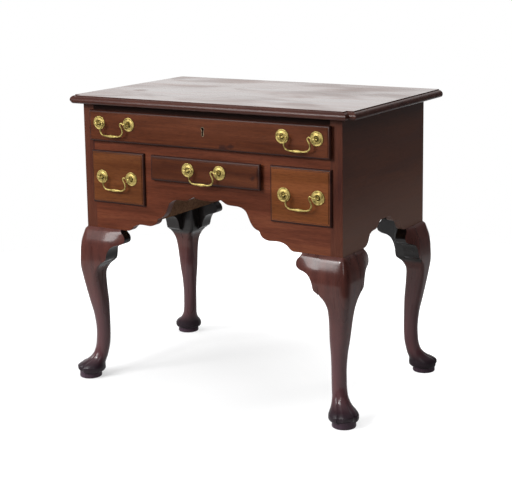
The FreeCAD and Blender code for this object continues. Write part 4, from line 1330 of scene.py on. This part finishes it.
@dataclass
class KneeBlock:
    """Scrolled block that carries the knee's roll out along the case.

    Attributes:
        case: The case that it hangs under.
        joint: Distance from the corner of the case to the leg's flank, in mm.
        nose: Distance from the corner to the tip of the scroll, in mm.
        thick: How far the block reaches back under the case, in mm.
        ease: Share of the knee's swell that is left at the nose.
        columns: Facets along the case.
        wear: Width of its worn arrises, in mm.
        tight: How near the leg or the case an arris counts as lying against it, in mm.
        scroll: Runs of the scroll from the case down, as rows of the depth below the case and
            the distance from the corner, in mm.
        scroll_rows: Facets down each run.
    """

    case: Case
    joint: float = 56.0
    nose: float = 122.0
    thick: float = 22.0
    ease: float = 0.42
    columns: int = 14
    wear: float = 0.8
    tight: float = 0.01
    scroll: tuple[tuple[tuple[float, float], ...], ...] = (
        ((0, 108), (8, 112), (16, 119.5), (25.5, 122), (34, 118.8), (38.4, 110)),
        ((38.4, 110), (41, 97), (46, 86), (55.6, 77.5), (67, 72.5), (79, 70)),
        ((82.6, 67.4), (86.4, 61.5), (91, 56)),
    )
    scroll_rows: tuple[int, ...] = (16, 14, 5)

    def outline(self) -> list[tuple[float, float]]:
        """Draws the scroll.

        Returns:
            Depths below the case and the scroll's distance from the corner at each, in mm.
        """
        rows = []
        for run, count in zip(self.scroll, self.scroll_rows):
            low, high = run[0][0], run[-1][0]
            rows += [(deep, eased(run, deep)[0]) for deep in steps(low, high, count)]
        return rows + [self.scroll[-1][-1]]

    def shape(self) -> BMesh:
        """Makes the block along the front, beside the front right leg.

        Returns:
            The block, with its free arrises worn.
        """
        rows = self.outline()
        foot = LEG_STATIONS[-1][0]

        def place(column: int, row: int) -> Vector:
            """Places a corner of the block's face.

            Args:
                column: Its column, counted from the leg.
                row: Its row, counted from the case.

            Returns:
                Its position.
            """
            deep, reach = rows[row]
            along = self.joint + (reach - self.joint) * column / self.columns
            way = (along - self.joint) / (self.nose - self.joint)
            share = 1 - (1 - self.ease) * way * way
            outset = eased(LEG_STATIONS, foot - deep)[0]
            return Vector((self.case.half_width - along * MM,
                           -self.case.half_depth - outset * share * MM,
                           self.case.bottom - deep * MM))

        bm = patch(self.columns, len(rows) - 1, place)
        back = bmesh.ops.extrude_face_region(bm, geom=bm.faces[:])["geom"]
        for vert in (part for part in back if isinstance(part, BMVert)):
            vert.co.y = -self.case.half_depth + self.thick * MM
        tidied(bm)
        flank = self.case.half_width - self.joint * MM

        def touches(edge: BMEdge) -> bool:
            """Says whether an arris lies against the leg or the case.

            Args:
                edge: The arris.

            Returns:
                Whether both its ends do.
            """
            return (all(vert.co.x > flank - self.tight * MM for vert in edge.verts)
                    or all(vert.co.z > self.case.bottom - self.tight * MM
                           for vert in edge.verts))

        soften(bm, self.wear, 50, spared=touches)
        return bm

    def build(self) -> None:
        """Makes the two blocks of each leg."""
        # Swaps the front and the side about the diagonal through the corner.
        turn = Matrix(((0, -1, 0), (-1, 0, 0), (0, 0, 1)))
        corner_point = Vector((self.case.half_width, -self.case.half_depth, 0))
        for corner, (right, rear) in CORNERS.items():
            for face in ("front" if rear < 0 else "back", "side"):
                bm = self.shape()
                if face == "side":
                    for vert in bm.verts:
                        vert.co = corner_point + turn @ (vert.co - corner_point)
                piece = finished(f"{corner}_{face}_scroll", flipped(bm, right, rear))
                piece.data.materials.append(LEGS.make())
                place_piece(piece, "case", [f"{corner}_{face}_knee_block"])


# ---------------------------------------------------------------- drawers

@dataclass
class Drawer:
    """A drawer with its lipped front, dovetailed box and brass.

    Attributes:
        name: Its name, which is also its body's first word.
        front: The finish of its front.
        bails: Names of its bails.
    """

    name: str
    front: Finish
    bails: tuple[str, ...]

    @property
    def body(self) -> str:
        """The body that the drawer rides on."""
        return f"{self.name}_drawer"

    def build(self) -> None:
        """Makes the front, dresses the box and makes the handles."""
        Board(f"{self.body}_front", self.front, wear=0.4, body=self.body, edge=LIPS,
              way=tuple(FRONT)).build()
        for part in ("left_side", "right_side", "bottom"):
            dress(f"{self.body}_{part}", LINING)
        dress(f"{self.body}_back", BACKING)
        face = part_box(f"{self.body}_front")[0].y
        low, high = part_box(f"{self.body}_rosettes")
        height = (low.z + high.z) / 2
        handles = []
        for bail in self.bails:
            left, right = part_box(f"{bail}_bail")
            middle = Vector(((left.x + right.x) / 2, face, height))
            handles.append(Handle(bail, middle))
        HandleSet(self.body, handles).build()


@dataclass
class Handle:
    """One swan-neck handle.

    Attributes:
        name: Its name.
        middle: The point of the drawer's face midway between its posts.
        span: Distance between the posts, in mm.
        pivot_out: How far the bail's pins stand out from the face, in mm.
        rod: Radius of the bail's rod, in mm.
        path: Right half of the bail's line, in mm: across from the middle, up from the pivot,
            and radius.
    """

    name: str
    middle: Vector
    span: float = 92.0
    pivot_out: float = 12.0
    rod: float = 2.0
    path: tuple[tuple[float, float, float], ...] = (
        (53.4, 0, 2.0), (47, 0, 2.0), (42, 0, 2.0), (38.56, 0.69, 2.0), (35.64, 2.64, 2.0),
        (32.75, 3.94, 2.1), (29.71, 3.02, 2.1), (28.04, 0.33, 2.0), (28.56, -2.8, 2.0),
        (33.3, -11.0, 2.0), (34.8, -18.5, 2.0), (31.6, -25.6, 2.0),
        (24.6, -30.0, 2.0), (17.5, -30.96, 2.05), (11.9, -30.96, 2.5), (6.5, -30.96, 3.3),
        (0, -30.96, 3.8),
    )

    def centres(self) -> list[Vector]:
        """Where the two posts stand on the face."""
        half = self.span / 2 * MM
        return [self.middle + Vector((side * half, 0, 0)) for side in (-1, 1)]

    def bail(self) -> Object:
        """Makes the bail with its thickened grip.

        Returns:
            The bail, without its material.
        """
        line = bpy.data.curves.new(f"{self.name}_line", "CURVE")
        line.dimensions = "3D"
        line.bevel_depth = self.rod * MM
        line.bevel_resolution = 4
        line.resolution_u = 5
        line.use_fill_caps = True
        rows = list(self.path) + [(-x, z, radius) for x, z, radius in reversed(self.path[:-1])]
        spline = line.splines.new("BEZIER")
        spline.bezier_points.add(len(rows) - 1)
        for point, (x, z, radius) in zip(spline.bezier_points, rows):
            point.co = self.middle + Vector((x, -self.pivot_out, z)) * MM
            point.radius = radius / self.rod
            point.handle_left_type = point.handle_right_type = "AUTO"
        holder = bpy.data.objects.new(f"{self.name}_line", line)
        bpy.context.scene.collection.objects.link(holder)
        mesh = bpy.data.meshes.new_from_object(
            holder.evaluated_get(bpy.context.evaluated_depsgraph_get()))
        bpy.data.objects.remove(holder)
        bm = bmesh.new()
        bm.from_mesh(mesh)
        bpy.data.meshes.remove(mesh)
        return finished(f"{self.name}_swan_neck", tidied(bm), smooth_to=60)

    def build(self) -> None:
        """Makes the bail and lets it ride on its own body."""
        piece = self.bail()
        piece.data.materials.append(BRASS.make())
        place_piece(piece, f"{self.name}_handle", [f"{self.name}_bail"])


@dataclass
class HandleSet:
    """The handles of one drawer, with their rosettes and posts.

    Attributes:
        drawer: The body of the drawer.
        handles: Its handles.
        rosette: Profile of a rosette: radius and distance out from the face, in mm.
        post: Profile of a post, likewise.
        lobes: Flutes round the rosette's cove.
        cove: Radii between which the cove lies, in mm.
        cove_out: Least distance of the cove from the face, in mm.
        flute: Depth of the flutes either way, in mm.
        hollow: Radius round the post within which a rosette is darker, in mm.
        post_sides: Facets round a post.
        nut_side: Side of a post's square nut, in mm.
        nut_thick: Its thickness, in mm.
        nut_in: Distance from the drawer's face back to the nut, in mm.
    """

    drawer: str
    handles: list[Handle]
    rosette: tuple[tuple[float, float], ...] = (
        (2.6, 0), (17.0, 0), (17.5, 0.3), (17.5, 1.0), (17.1, 1.6), (16.4, 1.9), (15.5, 1.85),
        (14.6, 1.6), (13.6, 1.55), (12.4, 1.8), (11.2, 2.2), (10.2, 2.7), (9.4, 3.2),
        (8.6, 3.5), (7.8, 3.5), (7.1, 3.2), (6.5, 2.8), (5.6, 2.6), (2.6, 2.6),
    )
    post: tuple[tuple[float, float], ...] = (
        (0, -26), (2.2, -26), (2.2, 2.4), (4.4, 2.4), (4.5, 3.2), (3.6, 3.9), (3.3, 5.0),
        (3.6, 6.2), (4.4, 8.2), (4.7, 10.2), (4.75, 12.0), (4.6, 13.8), (4.0, 15.4),
        (2.9, 16.5), (1.5, 17.0), (0, 17.1),
    )
    lobes: int = 24
    cove: tuple[float, float] = (10.5, 15)
    cove_out: float = 0.9
    flute: float = 0.12
    hollow: float = 6.6
    post_sides: int = 32
    nut_side: float = 11
    nut_thick: float = 4
    nut_in: float = 22

    def plate(self, centre: Vector) -> BMesh:
        """Makes a rosette, with shallow flutes in its cove.

        Args:
            centre: Where its post stands on the face.

        Returns:
            The rosette.
        """
        low, high = self.cove
        bm = turned(self.rosette, centre, self.lobes * 4)
        for vert in bm.verts:
            flat = vert.co - centre
            radius = math.hypot(flat.x, flat.z) / MM
            if -flat.y > self.cove_out * MM and low < radius < high:
                angle = math.atan2(flat.z, flat.x)
                vert.co.y += self.flute * MM * math.cos(self.lobes * angle)
        # Faces near the post take the darker brass.
        for face in bm.faces:
            flat = face.calc_center_median() - centre
            face.material_index = int(math.hypot(flat.x, flat.z) < self.hollow * MM)
        return bm

    def nut(self, centre: Vector) -> BMesh:
        """Makes the square nut on a post's shank, inside the drawer.

        Args:
            centre: Where the post stands on the face.

        Returns:
            The nut.
        """
        side, thick = self.nut_side * MM, self.nut_thick * MM
        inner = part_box(f"{self.drawer}_front")[0].y + self.nut_in * MM
        bm = bmesh.new()
        bmesh.ops.create_cube(bm, size=1.0)
        bmesh.ops.scale(bm, vec=Vector((side, thick, side)), verts=bm.verts[:])
        bmesh.ops.translate(bm, verts=bm.verts[:],
                            vec=Vector((centre.x, inner + thick / 2, centre.z)))
        soften(bm, 0.6)
        return bm

    def build(self) -> None:
        """Makes the rosettes, the posts and the bails."""
        centres = [centre for handle in self.handles for centre in handle.centres()]
        plates = finished(f"{self.drawer}_plates",
                          joined(self.plate(centre) for centre in centres), smooth_to=50)
        for finish in (BRASS, DARKER_BRASS):
            plates.data.materials.append(finish.make())
        place_piece(plates, self.drawer, [f"{self.drawer}_rosettes"])
        posts = finished(f"{self.drawer}_knobs", joined(
            [turned(self.post, centre, self.post_sides) for centre in centres]
            + [self.nut(centre) for centre in centres]), smooth_to=50)
        posts.data.materials.append(BRASS.make())
        place_piece(posts, self.drawer, [f"{self.drawer}_posts"])
        for handle in self.handles:
            handle.build()


# ---------------------------------------------------------------- studio

@dataclass(frozen=True)
class Lamp:
    """A soft rectangular lamp.

    Attributes:
        name: Its name.
        stand: Where it hangs, in metres.
        size: Its width and height, in metres.
        power: Its power, in watts.
        mirrored: Whether polished faces mirror it.
    """

    name: str
    stand: tuple[float, float, float]
    size: tuple[float, float]
    power: float
    mirrored: bool = True

    def build(self, target: Vector) -> None:
        """Hangs the lamp and turns it.

        Args:
            target: What it points at.
        """
        light = bpy.data.lights.new(self.name, "AREA")
        light.shape = "RECTANGLE"
        light.size, light.size_y = self.size
        light.energy = self.power
        lamp = bpy.data.objects.new(self.name, light)
        bpy.context.scene.collection.objects.link(lamp)
        way = target - Vector(self.stand)
        turn = way.to_track_quat("-Z", "Y").to_matrix().to_4x4()
        lamp.matrix_world = Matrix.Translation(self.stand) @ turn
        lamp.visible_glossy = self.mirrored


@dataclass
class Studio:
    """Floor, light and camera.

    Attributes:
        width: Width of the picture, in pixels.
        focal: Focal length, in pixels.
        level: Row of the picture on the lens's axis, from the top, in pixels.
        height: Height of the picture, in pixels.
        yaw: How far the camera stands round to the right of the front, in degrees.
        pitch: How far it looks down, in degrees.
        roll: How far it leans, in degrees.
        stand: Where it stands, in mm.
        floor_radius: Radius of the floor, in metres.
        dim: Light of the room's dark side.
        bright: Light of the room's bright side.
        bright_way: Way to the room's bright side.
        bright_edge: Cosines from that way between which the light rises.
        backdrop_way: Way to the white backdrop.
        backdrop_edge: Cosines from that way between which the backdrop sets in.
        room: Colour of the room.
        target: What the lamps point at, in metres.
        lamps: The lamps.
    """

    width: float = 512
    height: float = 486
    focal: float = 1286.5
    level: float = 170
    yaw: float = 31.254
    pitch: float = 10.034
    roll: float = -0.824
    stand: tuple[float, float, float] = (1714.3, -2817.8, 1134.4)
    floor_radius: float = 1.7
    dim: float = 0.08
    bright: float = 0.5
    bright_way: tuple[float, float, float] = (-0.35, -0.2, 0.9)
    bright_edge: tuple[float, float] = (0.0, 0.9)
    backdrop_way: tuple[float, float, float] = (-0.6, 0.8, 0.0)
    backdrop_edge: tuple[float, float] = (0.55, 0.85)
    room: str = "#F4F6FA"
    target: tuple[float, float, float] = (0, 0, 0.5)
    lamps: tuple[Lamp, ...] = (
        Lamp("key", (-1.55, -2.68, 1.98), (0.95, 1.9), 64),
        Lamp("fill", (-2.1, -2.45, 1.98), (0.5, 1.9), 31, mirrored=False),
        Lamp("spot", (-0.79, -2.66, 2.1), (0.25, 0.25), 34),
        Lamp("card", (1.95, -2.5, 1.98), (0.5, 1.6), 13),
        Lamp("rear", (1.7, 2.8, 2.6), (1.2, 1.2), 60, mirrored=False),
        Lamp("overhead", (-0.8, -0.6, 3.0), (2.0, 2.0), 50, mirrored=False),
    )

    def camera(self) -> None:
        """Sets up the camera."""
        lens = bpy.data.cameras.new("camera")
        lens.sensor_fit = "HORIZONTAL"
        lens.sensor_width = 36
        lens.lens = self.focal * lens.sensor_width / self.width
        lens.shift_y = (self.level - self.height / 2) / self.width
        lens.clip_end = 50
        camera = bpy.data.objects.new("camera", lens)
        bpy.context.scene.collection.objects.link(camera)
        yaw, pitch, roll = (math.radians(angle) for angle in (self.yaw, self.pitch, self.roll))
        back = Vector((math.sin(yaw) * math.cos(pitch), -math.cos(yaw) * math.cos(pitch),
                       math.sin(pitch)))
        level = Vector((math.cos(yaw), math.sin(yaw), 0))
        upright = back.cross(level)
        right = math.cos(roll) * level + math.sin(roll) * upright
        up = math.cos(roll) * upright - math.sin(roll) * level
        turn = Matrix((right, up, back)).transposed()
        camera.matrix_world = Matrix.Translation(Vector(self.stand) * MM) @ turn.to_4x4()
        bpy.context.scene.camera = camera

    def world(self) -> None:
        """Makes a dim room with a white backdrop, which is seen directly and mirrored."""
        world = bpy.data.worlds.new("studio")
        bpy.context.scene.world = world
        world.use_nodes = True
        tree = world.node_tree
        tree.nodes.clear()
        way = add_node(tree, "ShaderNodeTexCoord").outputs["Generated"]

        def towards(aim: tuple[float, float, float], edge: tuple[float, float],
                    to: tuple[float, float]) -> NodeSocket:
            """Makes a value that rises as the view turns towards an aim.

            Args:
                aim: The way to the aim.
                edge: Cosines from that way between which the value rises.
                to: The values away from the aim and at it.

            Returns:
                The value.
            """
            facing = add_node(tree, "ShaderNodeVectorMath",
                              {"operation": "DOT_PRODUCT", 1: Vector(aim).normalized()},
                              {0: way}).outputs["Value"]
            return ranged(tree, facing, edge, to)

        behind = towards(self.backdrop_way, self.backdrop_edge, (0.0, 1.0))
        direct = add_node(tree, "ShaderNodeLightPath").outputs["Is Camera Ray"]
        backdrop = add_node(tree, "ShaderNodeMath", {"operation": "MULTIPLY"},
                            {0: seen_mirrored(tree), 1: behind})
        white = add_node(tree, "ShaderNodeMath", {"operation": "MAXIMUM"},
                         {0: direct, 1: backdrop.outputs[0]})
        light = towards(self.bright_way, self.bright_edge, (self.dim, self.bright))
        room = add_node(tree, "ShaderNodeBackground", {"Color": linear(self.room)},
                        {"Strength": light})
        paper = add_node(tree, "ShaderNodeBackground", {"Color": (1, 1, 1, 1), "Strength": 1.0})
        mixed = add_node(tree, "ShaderNodeMixShader",
                         links={0: white.outputs[0], 1: room.outputs[0], 2: paper.outputs[0]})
        add_node(tree, "ShaderNodeOutputWorld", links={"Surface": mixed.outputs[0]})

    def floor(self) -> None:
        """Lays the floor."""
        bm = bmesh.new()
        bmesh.ops.create_circle(bm, cap_ends=True, segments=96, radius=self.floor_radius)
        piece = finished("floor", bm)
        piece.data.materials.append(StudioFloor("white_studio_paper").make())

    def build(self) -> None:
        """Sets up everything round the table."""
        self.camera()
        self.world()
        self.floor()
        for lamp in self.lamps:
            lamp.build(Vector(self.target))
        bpy.context.scene.view_settings.view_transform = "Standard"


# ---------------------------------------------------------------- all together

def main() -> None:
    """Builds every piece in order."""
    logging.basicConfig(level=logging.INFO, format="%(message)s")
    Studio().build()
    case = Case()
    CaseWork().build()
    Leg(case).build()
    KneeBlock(case).build()
    for drawer in (Drawer("top", TOP_FRONT, ("top_left", "top_right")),
                   Drawer("left", LEFT_FRONT, ("left",)),
                   Drawer("middle", MIDDLE_FRONT, ("middle",)),
                   Drawer("right", RIGHT_FRONT, ("right",))):
        drawer.build()
    dress("keyhole_liner", LINER)
    dress("lock_case", IRON)
    dress("lock_bolt", IRON)
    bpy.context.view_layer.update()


if __name__ == "__main__":
    main()
